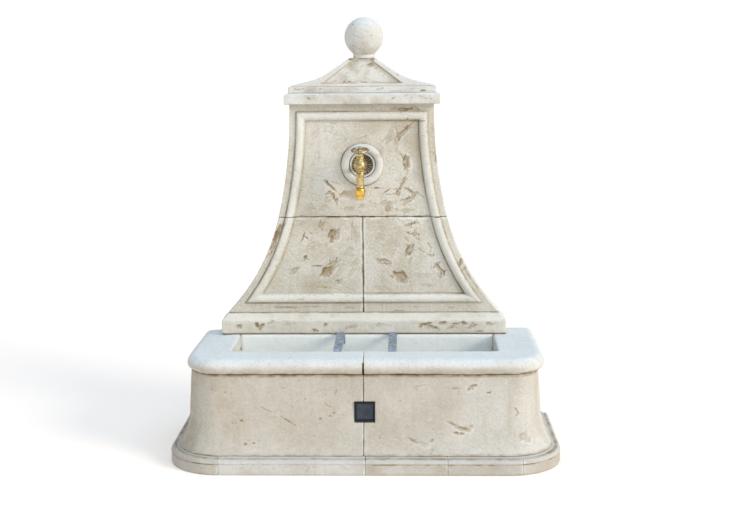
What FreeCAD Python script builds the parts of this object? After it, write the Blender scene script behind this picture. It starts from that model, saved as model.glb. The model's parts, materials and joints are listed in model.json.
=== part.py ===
import FreeCAD, Part
import math
import os
import re
import Sketcher

# A wall fountain in cast stone: a trough basin with rounded front corners on a moulded plinth,
# a tall backboard with curved sides and a framed field, a cornice, a low gable with a ball on
# top, and a brass tap whose handwheel turns. Two steel bars lie across the trough for a bucket.
# Millimetres, +Z up. The front faces -Y, the wall is behind, at +Y. The origin lies on the
# ground, in the middle of the bounding box.

# ---------------------------------------------------------------- driving sizes
SIZES = {
    # overall plan, taken at the foot of the plinth
    "half_width": 700.0,
    "depth": 556.0,
    "round": 195.0,             # radius of the plinth's front corners
    # plinth
    "plinth_face": 40.0,        # height of its plain upright face
    "plinth_mould": 16.0,       # radius of the quarter round on the face
    "plinth_step": 22.0,        # inset of the thin fillet above the quarter round
    "plinth_top": 60.0,
    "plinth_joint": 6.0,        # x of the joint in the middle of the front
    "plinth_joint_left": 505.0,
    "plinth_joint_right": 292.0,
    "plinth_turn": 14.0,        # degrees of the right corner that belong to the front stone
    # basin walls: the outer face flares out at the foot
    "foot_inset": 28.0,
    "waist_inset": 72.0,
    "waist_z": 190.0,
    "flare": 220.0,             # radius of the flare
    "neck_inset": 82.0,
    "wall_top": 339.0,
    "floor_top": 95.0,
    "trough_front": 202.0,      # inset of the trough's front face
    "trough_side": 225.0,       # inset of the trough's side faces
    # rim
    "rim_nose": 62.0,           # inset of its widest line
    "rim_under": 22.0,          # radius under the nose
    "rim_over": 33.0,           # radius over the nose
    "rim_top": 394.0,
    # backboard: everything is measured forward from the wall
    "board_x": -11.0,           # the backboard stands a little left of the basin's middle
    "slab_half": 536.0,
    "slab_deep": 108.0,
    "slab_upright": 446.0,      # top of its upright face
    "slab_top": 472.0,
    "slab_slope_front": 30.0,
    "slab_slope_side": 26.0,
    "board_deep": 78.0,
    "field_sunk": 8.0,
    "board_top": 1255.0,
    "board_top_half": 267.0,
    "curve_top": 1230.0,        # above this the board's sides are upright
    "upper_sweep": 1650.0,      # radius of the sides of the upper stone
    "lower_sweep": 821.0,       # radius of the sides of the lower stones
    "board_joint": 835.0,       # height of the joint between upper and lower stones
    "mould_inset": 25.0,
    "mould_wide": 34.0,
    "mould_proud": 10.0,
    "mould_top": 1227.0,
    "mould_foot": 509.0,
    # cornice
    "cornice_x": -9.0,
    "cornice_half": 286.0,
    "cornice_deep": 108.0,
    "cornice_lip": 1290.0,
    "cornice_top": 1295.0,
    "course_half": 271.5,
    "course_deep": 93.0,
    "course_top": 1318.0,
    # gable and finial
    "gable_x": -8.0,
    "gable_deep": 86.0,
    "gable_half": 264.0,
    "gable_edge": 1321.0,
    "gable_bend_low_half": 214.0,
    "gable_bend_low": 1333.5,
    "gable_bend_high_half": 128.0,
    "gable_bend_high": 1365.0,
    "gable_bend": 300.0,
    "gable_top_half": 45.0,
    "gable_top": 1421.0,
    "gable_panel_half": 142.0,
    "gable_panel_low": 1331.0,
    "gable_panel_top_half": 36.0,
    "gable_panel_top": 1411.0,
    "gable_panel_sunk": 6.0,
    "finial_x": -1.0,
    "neck_radius": 39.5,
    "neck_top": 1438.0,
    "neck_out": 55.0,           # distance of its axis from the wall
    "ball_radius": 70.5,
    "ball_z": 1496.5,
    "ball_out": 62.0,
    # stone rings and rosette around the tap
    "rose_x": -10.0,
    "rose_z": 1031.0,
    "ring_radius": 78.0,
    "ring_inner": 50.0,
    "ring_thick": 24.0,
    "boss_radius": 48.0,
    "boss_inner": 39.5,
    "boss_thick": 17.0,
    "rosette_radius": 39.0,
    "rosette_thick": 8.0,
    # tap
    "tap_x": -15.0,
    "tap_out": 172.0,           # distance of the tap's upright axis from the wall
    "tap_z": 1038.0,            # middle of the tap's body
    "lean_out": 12.0,           # the stem leans forward by this much ...
    "lean_up": 56.5,            # ... over this height
    "body_neck": 15.0,
    "body_low": 22.0,
    "body_high": 22.0,
    "body_bulge": 26.0,
    "shank_radius": 12.5,
    "backnut_radius": 19.0,
    "backnut_thick": 10.0,
    "collar_radius": 19.0,
    "collar_thick": 6.0,
    "spout_top_radius": 15.0,
    "spout_low_radius": 10.5,
    "spout_low": 954.0,
    "nozzle_radius": 18.5,
    "nozzle_low": 930.0,
    "outlet_radius": 13.2,
    "outlet_low": 914.0,
    "outlet_bore": 9.0,
    "bonnet_radius": 14.0,
    "bonnet_start": 12.0,       # distances along the leaning axis, from the body's middle
    "bonnet_end": 34.0,
    "gland_radius": 11.5,
    "gland_end": 44.0,
    "stem_radius": 5.0,
    "stem_start": 27.0,
    "stem_gap": 0.05,
    "stem_end": 70.0,
    "hub_radius": 11.0,
    "wheel_low": 50.0,
    "wheel_high": 62.0,
    "wheel_radius": 29.0,
    "wheel_tube": 5.2,
    "spoke_wide": 7.0,
    "spoke_thick": 5.0,
    "spokes": 5.0,
    "nut_radius": 8.0,
    # overflow plate in the middle of the basin's front
    "overflow_x": 4.0,
    "overflow_z": 207.0,
    "overflow_half": 37.0,
    "overflow_border": 5.0,
    "overflow_front": 71.0,     # inset of the frame's front
    "overflow_back": 96.0,      # inset of the bottom of the pocket
    "plate_front": 75.0,
    "plate_thick": 6.0,
    # bucket bars
    "bar_wide": 30.0,
    "bar_thick": 8.0,
    "bar_bearing": 12.0,        # length that rests on the front rim
    "bar_left_x": -95.0,
    "bar_right_x": 100.0,
    "lug_wide": 6.0,
    "lug_deep": 10.0,
    "lug_high": 34.0,
}


def edge_half(stone, height, inset=0.0):
    """Half width of the backboard at a height, less an inset square to its curved edge.

    The upper stone's sides are arcs that start upright at curve_top; the lower stones' sides
    carry on from the joint in the same direction with a smaller radius."""
    centre_x = SIZES["board_top_half"] + SIZES["upper_sweep"]
    centre_z = SIZES["curve_top"]
    radius = SIZES["upper_sweep"]
    if stone == "lower":
        step = radius - SIZES["lower_sweep"]
        sine = (SIZES["curve_top"] - SIZES["board_joint"]) / radius
        centre_x -= step * math.sqrt(1 - sine * sine)
        centre_z -= step * sine
        radius = SIZES["lower_sweep"]
    return centre_x - math.sqrt((radius + inset) ** 2 - (centre_z - height) ** 2)


MOULD_IN = SIZES["mould_inset"] + SIZES["mould_wide"]
SIZES["field_top"] = SIZES["mould_top"] - SIZES["mould_wide"]
SIZES["field_foot"] = SIZES["mould_foot"] + SIZES["mould_wide"]
for stone, place, height in (("upper", "joint", "board_joint"), ("lower", "joint", "board_joint"),
                             ("upper", "top", "mould_top"), ("lower", "foot", "mould_foot")):
    SIZES["%s_%s_mould" % (stone, place)] = edge_half(stone, SIZES[height], SIZES["mould_inset"])
for stone, place, height in (("upper", "joint", "board_joint"), ("lower", "joint", "board_joint"),
                             ("upper", "top", "field_top"), ("lower", "foot", "field_foot")):
    SIZES["%s_%s_field" % (stone, place)] = edge_half(stone, SIZES[height], MOULD_IN)
SIZES["joint_half"] = edge_half("upper", SIZES["board_joint"])
SIZES["lower_foot_half"] = edge_half("lower", SIZES["slab_top"])
LEAN = math.atan2(SIZES["lean_out"], SIZES["lean_up"])
SIZES["lean_sine"] = math.sin(LEAN)
SIZES["lean_cosine"] = math.cos(LEAN)

doc = FreeCAD.newDocument("WallFountain")
sheet = doc.addObject("Spreadsheet::Sheet", "Sizes")
for row, (alias, number) in enumerate(SIZES.items(), start=1):
    sheet.set("A%d" % row, alias)
    sheet.set("B%d" % row, str(number))
    sheet.setAlias("B%d" % row, alias)
doc.recompute()

WORD = re.compile("[a-z][a-z_]*")
pieces = []


# ---------------------------------------------------------------- helpers
def as_expression(formula):
    """The formula with each size name pointing at its cell in the sheet."""
    return WORD.sub(lambda m: "Sizes." + m.group() if m.group() in SIZES else m.group(), formula)


def worth(formula):
    """The number that the formula comes to."""
    numbers = WORD.sub(lambda m: "(%r)" % SIZES[m.group()] if m.group() in SIZES else m.group(), formula)
    return FreeCAD.Units.Quantity(numbers).Value


def bind(thing, **formulas):
    """Ties properties to the sheet: Length="depth / 2" and so on."""
    for name, formula in formulas.items():
        thing.setExpression(name.replace("__", "."), as_expression(formula))


def put(thing, x, y, z, rotation=None):
    """Places a thing, with its base point tied to the sheet."""
    base = FreeCAD.Vector(worth(x), worth(y), worth(z))
    thing.Placement = FreeCAD.Placement(base, rotation or FreeCAD.Rotation())
    bind(thing, Placement__Base__x=x, Placement__Base__y=y, Placement__Base__z=z)


def keep(thing, label):
    """Lists a finished sub-part under the name of its file."""
    thing.Label = label
    pieces.append(thing)
    return thing


def sketch_on(body, name, role, across="0", up="0", out="0", turn=0.0):
    """A sketch on one of the body's own origin planes, moved by an offset tied to the sheet."""
    sketch = body.newObject("Sketcher::SketchObject", name)
    plane = [feature for feature in body.Origin.OriginFeatures if feature.Role == role][0]
    sketch.AttachmentSupport = [(plane, "")]
    sketch.MapMode = "FlatFace"
    base = FreeCAD.Vector(worth(across), worth(up), worth(out))
    spin = FreeCAD.Rotation(FreeCAD.Vector(0, 1, 0), turn)
    sketch.AttachmentOffset = FreeCAD.Placement(base, spin)
    bind(sketch, AttachmentOffset__Base__x=across, AttachmentOffset__Base__y=up,
         AttachmentOffset__Base__z=out)
    return sketch


def arc_between(start, end, radius, side):
    """The short arc from start to end; its centre is left (1) or right (-1) of the way."""
    chord = end - start
    half = chord.Length / 2
    left = FreeCAD.Vector(-chord.y, chord.x, 0).normalize()
    centre = (start + end) * 0.5 + left * (side * max(radius * radius - half * half, 0.0) ** 0.5)
    first, last = (start, end) if side > 0 else (end, start)
    across = FreeCAD.Vector(1, 0, 0)
    angles = [across.getAngle(p - centre) * (1 if p.y >= centre.y else -1) for p in (first, last)]
    circle = Part.Circle(centre, FreeCAD.Vector(0, 0, 1), radius)
    return Part.ArcOfCircle(circle, angles[0], angles[1])


def outline(sketch, corners, arcs=None):
    """Draws a closed outline. corners are pairs of formulas; arcs gives, for the side that
    leaves a corner, the radius and the side of its centre. Every size is tied to the sheet."""
    arcs = arcs or {}
    count = len(corners)
    points = [FreeCAD.Vector(worth(x), worth(y), 0) for x, y in corners]
    ends = []
    for i in range(count):
        start, end = points[i], points[(i + 1) % count]
        if i in arcs:
            radius, side = arcs[i]
            sketch.addGeometry(arc_between(start, end, worth(radius), side), False)
            ends.append((1, 2) if side > 0 else (2, 1))
        else:
            sketch.addGeometry(Part.LineSegment(start, end), False)
            ends.append((1, 2))
    for i in range(count):
        following = (i + 1) % count
        sketch.addConstraint(Sketcher.Constraint("Coincident", i, ends[i][1], following, ends[following][0]))
    for i, (x, y) in enumerate(corners):
        for kind, formula in (("DistanceX", x), ("DistanceY", y)):
            at = sketch.addConstraint(Sketcher.Constraint(kind, -1, 1, i, ends[i][0], worth(formula)))
            sketch.setExpression("Constraints[%d]" % at, as_expression(formula))
    for i, (radius, side) in arcs.items():
        at = sketch.addConstraint(Sketcher.Constraint("Radius", i, worth(radius)))
        sketch.setExpression("Constraints[%d]" % at, as_expression(radius))


def pad(body, sketch, length, backwards=False):
    feature = body.newObject("PartDesign::Pad", "Pad")
    feature.Profile = sketch
    feature.Reversed = backwards
    bind(feature, Length=length)
    return feature


def pocket(body, sketch, length):
    feature = body.newObject("PartDesign::Pocket", "Pocket")
    feature.Profile = sketch
    bind(feature, Length=length)
    return feature


def revolve(body, sketch, degrees="360", backwards=False):
    feature = body.newObject("PartDesign::Revolution", "Revolution")
    feature.Profile = sketch
    feature.ReferenceAxis = (sketch, ["V_Axis"])
    feature.Reversed = backwards
    bind(feature, Angle=degrees)
    return feature


def box(label, x, y, z, wide, deep, high):
    """A rectangular block, from its low corner."""
    block = doc.addObject("Part::Box", "Block")
    bind(block, Length=wide, Width=deep, Height=high)
    put(block, x, y, z)
    block.Label = label
    return block


def turned(label, corners, arcs, x, y, z, rotation=None):
    """A piece turned about its own axis; corners are pairs of radius and height."""
    body = doc.addObject("PartDesign::Body", "Turned")
    sketch = sketch_on(body, "Profile", "XZ_Plane")
    outline(sketch, corners, arcs)
    revolve(body, sketch)
    put(body, x, y, z, rotation)
    body.Label = label
    return body


def less(label, base, tool):
    """What is left of base where tool is taken away."""
    cut = doc.addObject("Part::Cut", "Cut")
    cut.Base = base
    cut.Tool = tool
    cut.Label = label
    return cut


def joined(label, *parts):
    fuse = doc.addObject("Part::MultiFuse", "Joined")
    fuse.Shapes = list(parts)
    fuse.Label = label
    return fuse


WALL = "depth / 2"
OUTWARD = FreeCAD.Rotation(FreeCAD.Vector(1, 0, 0), 90)


# ---------------------------------------------------------------- sections of the stones
# Each section is seen from the end of the front run: pairs of inset from the foot of the
# plinth and height, from the bottom of the outer face up, then back down the inner face.
def plinth_section(inner):
    corners = [("0", "0"), ("0", "plinth_face"), ("plinth_mould", "plinth_face + plinth_mould"),
               ("plinth_step", "plinth_face + plinth_mould"), ("plinth_step", "plinth_top"),
               (inner, "plinth_top"), (inner, "0")]
    return corners, {1: ("plinth_mould", -1)}


def wall_section(inner):
    corners = [("foot_inset", "plinth_top"), ("waist_inset", "waist_z"), ("neck_inset", "wall_top"),
               (inner, "wall_top"), (inner, "plinth_top")]
    return corners, {0: ("flare", 1)}


def rim_section(inner):
    corners = [("rim_nose + rim_under", "wall_top"), ("rim_nose", "wall_top + rim_under"),
               ("rim_nose + rim_over", "rim_top"), (inner, "rim_top"), (inner, "wall_top")]
    return corners, {0: ("rim_under", -1), 1: ("rim_over", -1)}


def front_run(body, section, side, start, end, inner="trough_front"):
    """The straight stretch along the front, between two distances from the middle on one side."""
    corners, arcs = section(inner)
    sketch = sketch_on(body, "FrontProfile", "YZ_Plane", out="%s * (%s)" % (side, start))
    outline(sketch, [("%s - depth / 2" % inset, height) for inset, height in corners], arcs)
    pad(body, sketch, "%s - (%s)" % (end, start), backwards=side == "-1")


def corner_turn(body, section, side, first="0"):
    """The rounded corner, turned about the centre of the corner from the angle first on."""
    corners, arcs = section("round")
    angle = worth(first)
    sketch = sketch_on(body, "CornerProfile", "YZ_Plane", across="round - depth / 2",
                       out="%s * (half_width - round)" % side, turn=angle if side == "1" else -angle)
    outline(sketch, [("%s - round" % inset, height) for inset, height in corners], arcs)
    return revolve(body, sketch, "90 - %s" % first, backwards=side == "-1")


def side_run(body, section, side):
    """The straight stretch along the side, from the corner back to the wall."""
    corners, arcs = section("trough_side")
    sketch = sketch_on(body, "SideProfile", "XZ_Plane", out="depth / 2 - round")
    facing = {key: (radius, way if side == "-1" else -way) for key, (radius, way) in arcs.items()}
    outer = [("%s * (half_width - (%s))" % (side, inset), height) for inset, height in corners]
    outline(sketch, outer, facing)
    pad(body, sketch, "depth - round", backwards=True)


# ---------------------------------------------------------------- plinth
def make_plinth():
    """Five stones. The front ones are as deep as the corners are round, so that they end where
    the corner stones' side runs begin."""
    left = doc.addObject("PartDesign::Body", "PlinthLeft")
    corner_turn(left, plinth_section, "-1")
    side_run(left, plinth_section, "-1")
    keep(left, "plinth_corner_left")

    right = doc.addObject("PartDesign::Body", "PlinthRight")
    corner_turn(right, plinth_section, "1", "plinth_turn")
    side_run(right, plinth_section, "1")
    keep(right, "plinth_corner_right")

    front_left = doc.addObject("PartDesign::Body", "PlinthFrontLeft")
    front_run(front_left, plinth_section, "-1", "-plinth_joint", "plinth_joint_left", "round")
    keep(front_left, "plinth_front_left")

    front_middle = doc.addObject("PartDesign::Body", "PlinthFrontMiddle")
    front_run(front_middle, plinth_section, "1", "plinth_joint", "plinth_joint_right", "round")
    keep(front_middle, "plinth_front_middle")

    front_right = doc.addObject("PartDesign::Body", "PlinthFrontRight")
    front_run(front_right, plinth_section, "1", "plinth_joint_right", "half_width - round", "round")
    corners, arcs = plinth_section("round")
    sketch = sketch_on(front_right, "TurnProfile", "YZ_Plane", across="round - depth / 2",
                       out="half_width - round")
    outline(sketch, [("%s - round" % inset, height) for inset, height in corners], arcs)
    revolve(front_right, sketch, "plinth_turn")
    keep(front_right, "plinth_front_right")


# ---------------------------------------------------------------- basin
def make_basin():
    for side, name in (("-1", "left"), ("1", "right")):
        stone = doc.addObject("PartDesign::Body", "Basin")
        front_run(stone, wall_section, side, "0", "half_width - round")
        corner_turn(stone, wall_section, side)
        side_run(stone, wall_section, side)
        sketch = sketch_on(stone, "OverflowPocket", "XZ_Plane", out=WALL)
        edge = "overflow_x %s overflow_half" % ("-" if side == "-1" else "+")
        low, high = "overflow_z - overflow_half", "overflow_z + overflow_half"
        outline(sketch, [("0", low), (edge, low), (edge, high), ("0", high)])
        pocket(stone, sketch, "overflow_back")
        keep(stone, "basin_%s" % name)

        rim = doc.addObject("PartDesign::Body", "Rim")
        front_run(rim, rim_section, side, "0", "half_width - round")
        corner_turn(rim, rim_section, side)
        side_run(rim, rim_section, side)
        keep(rim, "rim_%s" % name)

    half = "half_width - trough_side"
    keep(box("basin_floor", "-(%s)" % half, "trough_front - depth / 2", "0",
             "2 * (%s)" % half, "depth - trough_front", "floor_top"), "basin_floor")
    keep(box("basin_back_wall", "-(%s)" % half, "depth / 2 - slab_deep", "floor_top",
             "2 * (%s)" % half, "slab_deep", "rim_top - floor_top"), "basin_back_wall")


# ---------------------------------------------------------------- overflow and bucket bars
def make_fittings():
    low = "overflow_z - overflow_half"
    outer = box("overflow_block", "overflow_x - overflow_half", "overflow_front - depth / 2", low,
                "2 * overflow_half", "overflow_back - overflow_front", "2 * overflow_half")
    inner_half = "(overflow_half - overflow_border)"
    hole = box("overflow_hole", "overflow_x - %s" % inner_half, "overflow_front - depth / 2",
               "overflow_z - %s" % inner_half, "2 * %s" % inner_half,
               "overflow_back - overflow_front", "2 * %s" % inner_half)
    keep(less("overflow_frame", outer, hole), "overflow_frame")
    keep(box("overflow_plate", "overflow_x - %s" % inner_half, "plate_front - depth / 2",
             "overflow_z - %s" % inner_half, "2 * %s" % inner_half, "plate_thick",
             "2 * %s" % inner_half), "overflow_plate")

    for name, middle in (("left", "bar_left_x"), ("right", "bar_right_x")):
        keep(box("bar", "%s - bar_wide / 2" % middle, "trough_front - bar_bearing - depth / 2", "rim_top",
                 "bar_wide", "depth - slab_deep - trough_front + bar_bearing", "bar_thick"),
             "bucket_bar_%s" % name)
        keep(box("lug", "%s + bar_wide / 2 - lug_wide" % middle, "depth / 2 - slab_deep - lug_deep",
                 "rim_top - lug_high", "lug_wide", "lug_deep", "lug_high"), "bar_lug_%s" % name)


# ---------------------------------------------------------------- backboard
def board_sketch(body, name, forward):
    """An upright sketch in front of the wall by the distance forward."""
    return sketch_on(body, name, "XZ_Plane", across="board_x", out="%s - depth / 2" % forward)


def mirrored(corners):
    """The corners on the right, then the same on the left in the opposite order."""
    return corners + [("-(%s)" % x, z) for x, z in reversed(corners)]


def make_upper_stone():
    stone = doc.addObject("PartDesign::Body", "UpperStone")
    plate = board_sketch(stone, "Plate", "0")
    outline(plate, mirrored([("joint_half", "board_joint"), ("board_top_half", "curve_top"),
                             ("board_top_half", "board_top")]),
            {0: ("upper_sweep", -1), 4: ("upper_sweep", -1)})
    pad(stone, plate, "board_deep")

    field_sweep = "upper_sweep + mould_inset + mould_wide"
    field = board_sketch(stone, "Field", "board_deep")
    outline(field, mirrored([("upper_joint_field", "board_joint"), ("upper_top_field", "field_top")]),
            {0: (field_sweep, -1), 2: (field_sweep, -1)})
    pocket(stone, field, "field_sunk")

    mould_sweep = "upper_sweep + mould_inset"
    mould = board_sketch(stone, "Moulding", "board_deep")
    outline(mould, [("upper_joint_mould", "board_joint"), ("upper_top_mould", "mould_top"),
                    ("-upper_top_mould", "mould_top"), ("-upper_joint_mould", "board_joint"),
                    ("-upper_joint_field", "board_joint"), ("-upper_top_field", "field_top"),
                    ("upper_top_field", "field_top"), ("upper_joint_field", "board_joint")],
            {0: (mould_sweep, -1), 2: (mould_sweep, -1), 4: (field_sweep, 1), 6: (field_sweep, 1)})
    pad(stone, mould, "mould_proud")
    keep(stone, "upper_panel")


def make_lower_stone(side, name):
    """One of the two lower stones; side is -1 on the left and 1 on the right."""
    stone = doc.addObject("PartDesign::Body", "LowerStone")
    way = int(side)

    def on_side(corners):
        return [("%s * (%s)" % (side, x), z) for x, z in corners]

    plate = board_sketch(stone, "Plate", "0")
    outline(plate, on_side([("0", "slab_top"), ("lower_foot_half", "slab_top"), ("joint_half", "board_joint"),
                            ("0", "board_joint")]), {1: ("lower_sweep", -way)})
    pad(stone, plate, "board_deep")

    field_sweep = "lower_sweep + mould_inset + mould_wide"
    field = board_sketch(stone, "Field", "board_deep")
    outline(field, on_side([("0", "field_foot"), ("lower_foot_field", "field_foot"),
                            ("lower_joint_field", "board_joint"), ("0", "board_joint")]),
            {1: (field_sweep, -way)})
    pocket(stone, field, "field_sunk")

    mould_sweep = "lower_sweep + mould_inset"
    mould = board_sketch(stone, "Moulding", "board_deep")
    outline(mould, on_side([("0", "mould_foot"), ("lower_foot_mould", "mould_foot"),
                            ("lower_joint_mould", "board_joint"), ("lower_joint_field", "board_joint"),
                            ("lower_foot_field", "field_foot"), ("0", "field_foot")]),
            {1: (mould_sweep, -way), 3: (field_sweep, way)})
    pad(stone, mould, "mould_proud")
    keep(stone, "lower_panel_%s" % name)


def sloped_block(label, middle, half, deep, low, upright, top, slope_side, slope_front):
    """A block against the wall whose top slopes in at both sides and at the front."""
    block = box("block", "%s - %s" % (middle, half), "depth / 2 - %s" % deep, low,
                "2 * %s" % half, deep, "%s - %s" % (upright, low))
    frustum = doc.addObject("Part::Wedge", "Slope")
    bind(frustum, Xmin="-" + half, Xmax=half, Ymin="0", Ymax="%s - %s" % (top, upright),
         Zmin="0", Zmax=deep,
         X2min="%s - %s" % (slope_side, half), X2max="%s - %s" % (half, slope_side),
         Z2min="0", Z2max="%s - %s" % (deep, slope_front))
    put(frustum, middle, WALL, upright, OUTWARD)
    return keep(joined(label, block, frustum), label)


def make_cornice():
    sloped_block("backboard_base", "board_x", "slab_half", "slab_deep", "rim_top", "slab_upright",
                 "slab_top", "slab_slope_side", "slab_slope_front")
    sloped_block("cornice_lower", "cornice_x", "cornice_half", "cornice_deep", "board_top", "cornice_lip",
                 "cornice_top", "(cornice_half - course_half)", "(cornice_deep - course_deep)")
    keep(box("course", "cornice_x - course_half", "depth / 2 - course_deep", "cornice_top",
             "2 * course_half", "course_deep", "course_top - cornice_top"), "cornice_upper")


def make_gable():
    stone = doc.addObject("PartDesign::Body", "Gable")
    plate = sketch_on(stone, "Plate", "XZ_Plane", across="gable_x", out="-depth / 2")
    outline(plate, [("-gable_half", "course_top"), ("gable_half", "course_top"),
                    ("gable_half", "gable_edge"), ("gable_bend_low_half", "gable_bend_low"),
                    ("gable_bend_high_half", "gable_bend_high"), ("gable_top_half", "gable_top"),
                    ("-gable_top_half", "gable_top"), ("-gable_bend_high_half", "gable_bend_high"),
                    ("-gable_bend_low_half", "gable_bend_low"), ("-gable_half", "gable_edge")],
            {3: ("gable_bend", -1), 7: ("gable_bend", -1)})
    pad(stone, plate, "gable_deep")
    panel = sketch_on(stone, "Panel", "XZ_Plane", across="gable_x", out="gable_deep - depth / 2")
    outline(panel, [("-gable_panel_half", "gable_panel_low"), ("gable_panel_half", "gable_panel_low"),
                    ("gable_panel_top_half", "gable_panel_top"),
                    ("-gable_panel_top_half", "gable_panel_top")])
    pocket(stone, panel, "gable_panel_sunk")
    keep(stone, "gable")


def make_finial():
    ball = doc.addObject("Part::Sphere", "Ball")
    bind(ball, Radius="ball_radius")
    put(ball, "finial_x", "depth / 2 - ball_out", "ball_z")
    ball.Label = "round_ball"
    neck = doc.addObject("Part::Cylinder", "Neck")
    bind(neck, Radius="neck_radius", Height="neck_top - gable_top")
    put(neck, "finial_x", "depth / 2 - neck_out", "gable_top")
    neck.Label = "neck_block"
    keep(less("finial_neck", neck, ball), "finial_neck")
    behind = box("behind_wall_plane", "finial_x - 2 * ball_radius", WALL, "ball_z - 2 * ball_radius",
                 "4 * ball_radius", "ball_radius", "4 * ball_radius")
    keep(less("finial_ball", ball, behind), "finial_ball")


# ---------------------------------------------------------------- rings and tap
FIELD_Y = "depth / 2 - board_deep + field_sunk"
TAP_Y = "depth / 2 - tap_out"


def ring_corners(inner, outer, thick, edge):
    """Section of a flat ring with a bevelled outer edge."""
    return [(inner, "0"), (outer, "0"), (outer, "%s - %s" % (thick, edge)),
            ("%s - %s" % (outer, edge), thick), (inner, thick)]


def make_rings():
    keep(turned("ring", ring_corners("ring_inner", "ring_radius", "ring_thick", "ring_thick / 2"), None,
                "rose_x", FIELD_Y, "rose_z", OUTWARD), "escutcheon_ring")
    keep(turned("boss", ring_corners("boss_inner", "boss_radius", "boss_thick", "boss_thick / 4"), None,
                "rose_x", FIELD_Y, "rose_z", OUTWARD), "escutcheon_boss")


LEANING = FreeCAD.Rotation(FreeCAD.Vector(1, 0, 0), math.degrees(LEAN))


def leaning_at(distance):
    """The point of the tap's leaning axis at a distance from the middle of its body."""
    return "tap_x", "%s - (%s) * lean_sine" % (TAP_Y, distance), "tap_z + (%s) * lean_cosine" % distance


def leaning(label, corners, start, arcs=None):
    """A piece turned about the leaning axis; heights count from its start on that axis."""
    x, y, z = leaning_at(start)
    return turned(label, corners, arcs, x, y, z, LEANING)


def plain_round(radius, length):
    return [("0", "0"), (radius, "0"), (radius, length), ("0", length)]


def plain_tube(inner, outer, length):
    return [(inner, "0"), (outer, "0"), (outer, length), (inner, length)]


def make_tap():
    body = turned("tap_body", [("0", "-body_low"), ("body_neck", "-body_low"), ("body_neck", "body_high"),
                               ("0", "body_high")], {1: ("body_bulge", 1)}, "tap_x", TAP_Y, "tap_z")
    keep(body, "tap_body")

    reach = "tap_out - board_deep + field_sunk"
    shank = turned("shank_bar", plain_round("shank_radius", reach), None,
                   "tap_x", FIELD_Y, "rose_z", OUTWARD)
    keep(less("tap_shank", shank, body), "tap_shank")
    # The rosette is bored where the shank passes, a little off its own middle.
    disc = ring_corners("0", "rosette_radius", "rosette_thick", "rosette_thick / 2")
    rosette = turned("rosette_disc", disc, None, "rose_x", FIELD_Y, "rose_z", OUTWARD)
    keep(less("tap_rosette", rosette, shank), "tap_rosette")
    nut = turned("nut", plain_tube("shank_radius", "backnut_radius", "backnut_thick"), None,
                 "tap_x", "%s - rosette_thick" % FIELD_Y, "rose_z", OUTWARD)
    keep(nut, "tap_backnut")

    collar_top = "tap_z - body_low"
    keep(turned("collar", plain_round("collar_radius", "collar_thick"), None,
                "tap_x", TAP_Y, "%s - collar_thick" % collar_top), "tap_collar")
    spout_high = "(%s - collar_thick - spout_low)" % collar_top
    keep(turned("spout", [("0", "0"), ("spout_low_radius", "0"), ("spout_top_radius", spout_high),
                          ("0", spout_high)], None, "tap_x", TAP_Y, "spout_low"), "tap_spout")
    nozzle_high = "(spout_low - outlet_low)"
    step = "(nozzle_low - outlet_low)"
    keep(turned("nozzle", [("outlet_bore", "0"), ("outlet_radius", "0"), ("outlet_radius", step),
                           ("nozzle_radius", step), ("nozzle_radius", "%s - nozzle_radius / 4" % nozzle_high),
                           ("nozzle_radius * 3 / 4", nozzle_high), ("0", nozzle_high), ("0", step),
                           ("outlet_bore", step)], None, "tap_x", TAP_Y, "outlet_low"), "tap_nozzle")

    # The stem turns in the gland and the bonnet with a small running gap.
    bore = "stem_radius + stem_gap"
    blind = "stem_start - 1 - bonnet_start"
    bonnet_high = "(bonnet_end - bonnet_start)"
    bonnet = leaning("bonnet_block", [("0", "0"), ("bonnet_radius", "0"), ("bonnet_radius", bonnet_high),
                                      (bore, bonnet_high), (bore, blind), ("0", blind)], "bonnet_start")
    keep(less("tap_bonnet", bonnet, body), "tap_bonnet")
    gland = plain_tube(bore, "gland_radius", "gland_end - bonnet_end")
    keep(leaning("gland", gland, "bonnet_end"), "tap_gland")
    stem = plain_round("stem_radius", "stem_end - stem_start")
    keep(leaning("stem", stem, "stem_start"), "tap_stem")
    make_wheel()


def make_wheel():
    """A ring on five spokes around a hub, and the nut that holds it on the stem."""
    wheel = doc.addObject("PartDesign::Body", "Wheel")
    thick = "(wheel_high - wheel_low)"
    hub = sketch_on(wheel, "HubProfile", "XZ_Plane")
    outline(hub, plain_tube("stem_radius", "hub_radius", thick))
    revolve(wheel, hub)
    tube = sketch_on(wheel, "RingProfile", "XZ_Plane")
    low = "%s / 2 - wheel_tube" % thick
    high = "%s / 2 + wheel_tube" % thick
    outline(tube, [("wheel_radius", low), ("wheel_radius", high)],
            {0: ("wheel_tube", -1), 1: ("wheel_tube", -1)})
    revolve(wheel, tube)
    spoke = sketch_on(wheel, "SpokeProfile", "YZ_Plane", out="hub_radius - 1")
    across = "spoke_wide / 2"
    under = "%s / 2 - spoke_thick / 2" % thick
    over = "%s / 2 + spoke_thick / 2" % thick
    outline(spoke, [("-" + across, under), (across, under), (across, over), ("-" + across, over)])
    arm = pad(wheel, spoke, "wheel_radius - hub_radius + 1")
    around = wheel.newObject("PartDesign::PolarPattern", "Spokes")
    around.Originals = [arm]
    around.Axis = (tube, ["V_Axis"])
    around.Angle = 360
    bind(around, Occurrences="spokes")
    wheel.Tip = around
    x, y, z = leaning_at("wheel_low")
    put(wheel, x, y, z, LEANING)
    keep(wheel, "tap_handwheel")
    nut_high = "(stem_end - wheel_high)"
    nut = [("stem_radius", "0"), ("nut_radius", "0"), ("nut_radius", "%s / 2" % nut_high),
           ("stem_radius", nut_high)]
    keep(leaning("nut", nut, "wheel_high"), "tap_wheel_nut")


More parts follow.
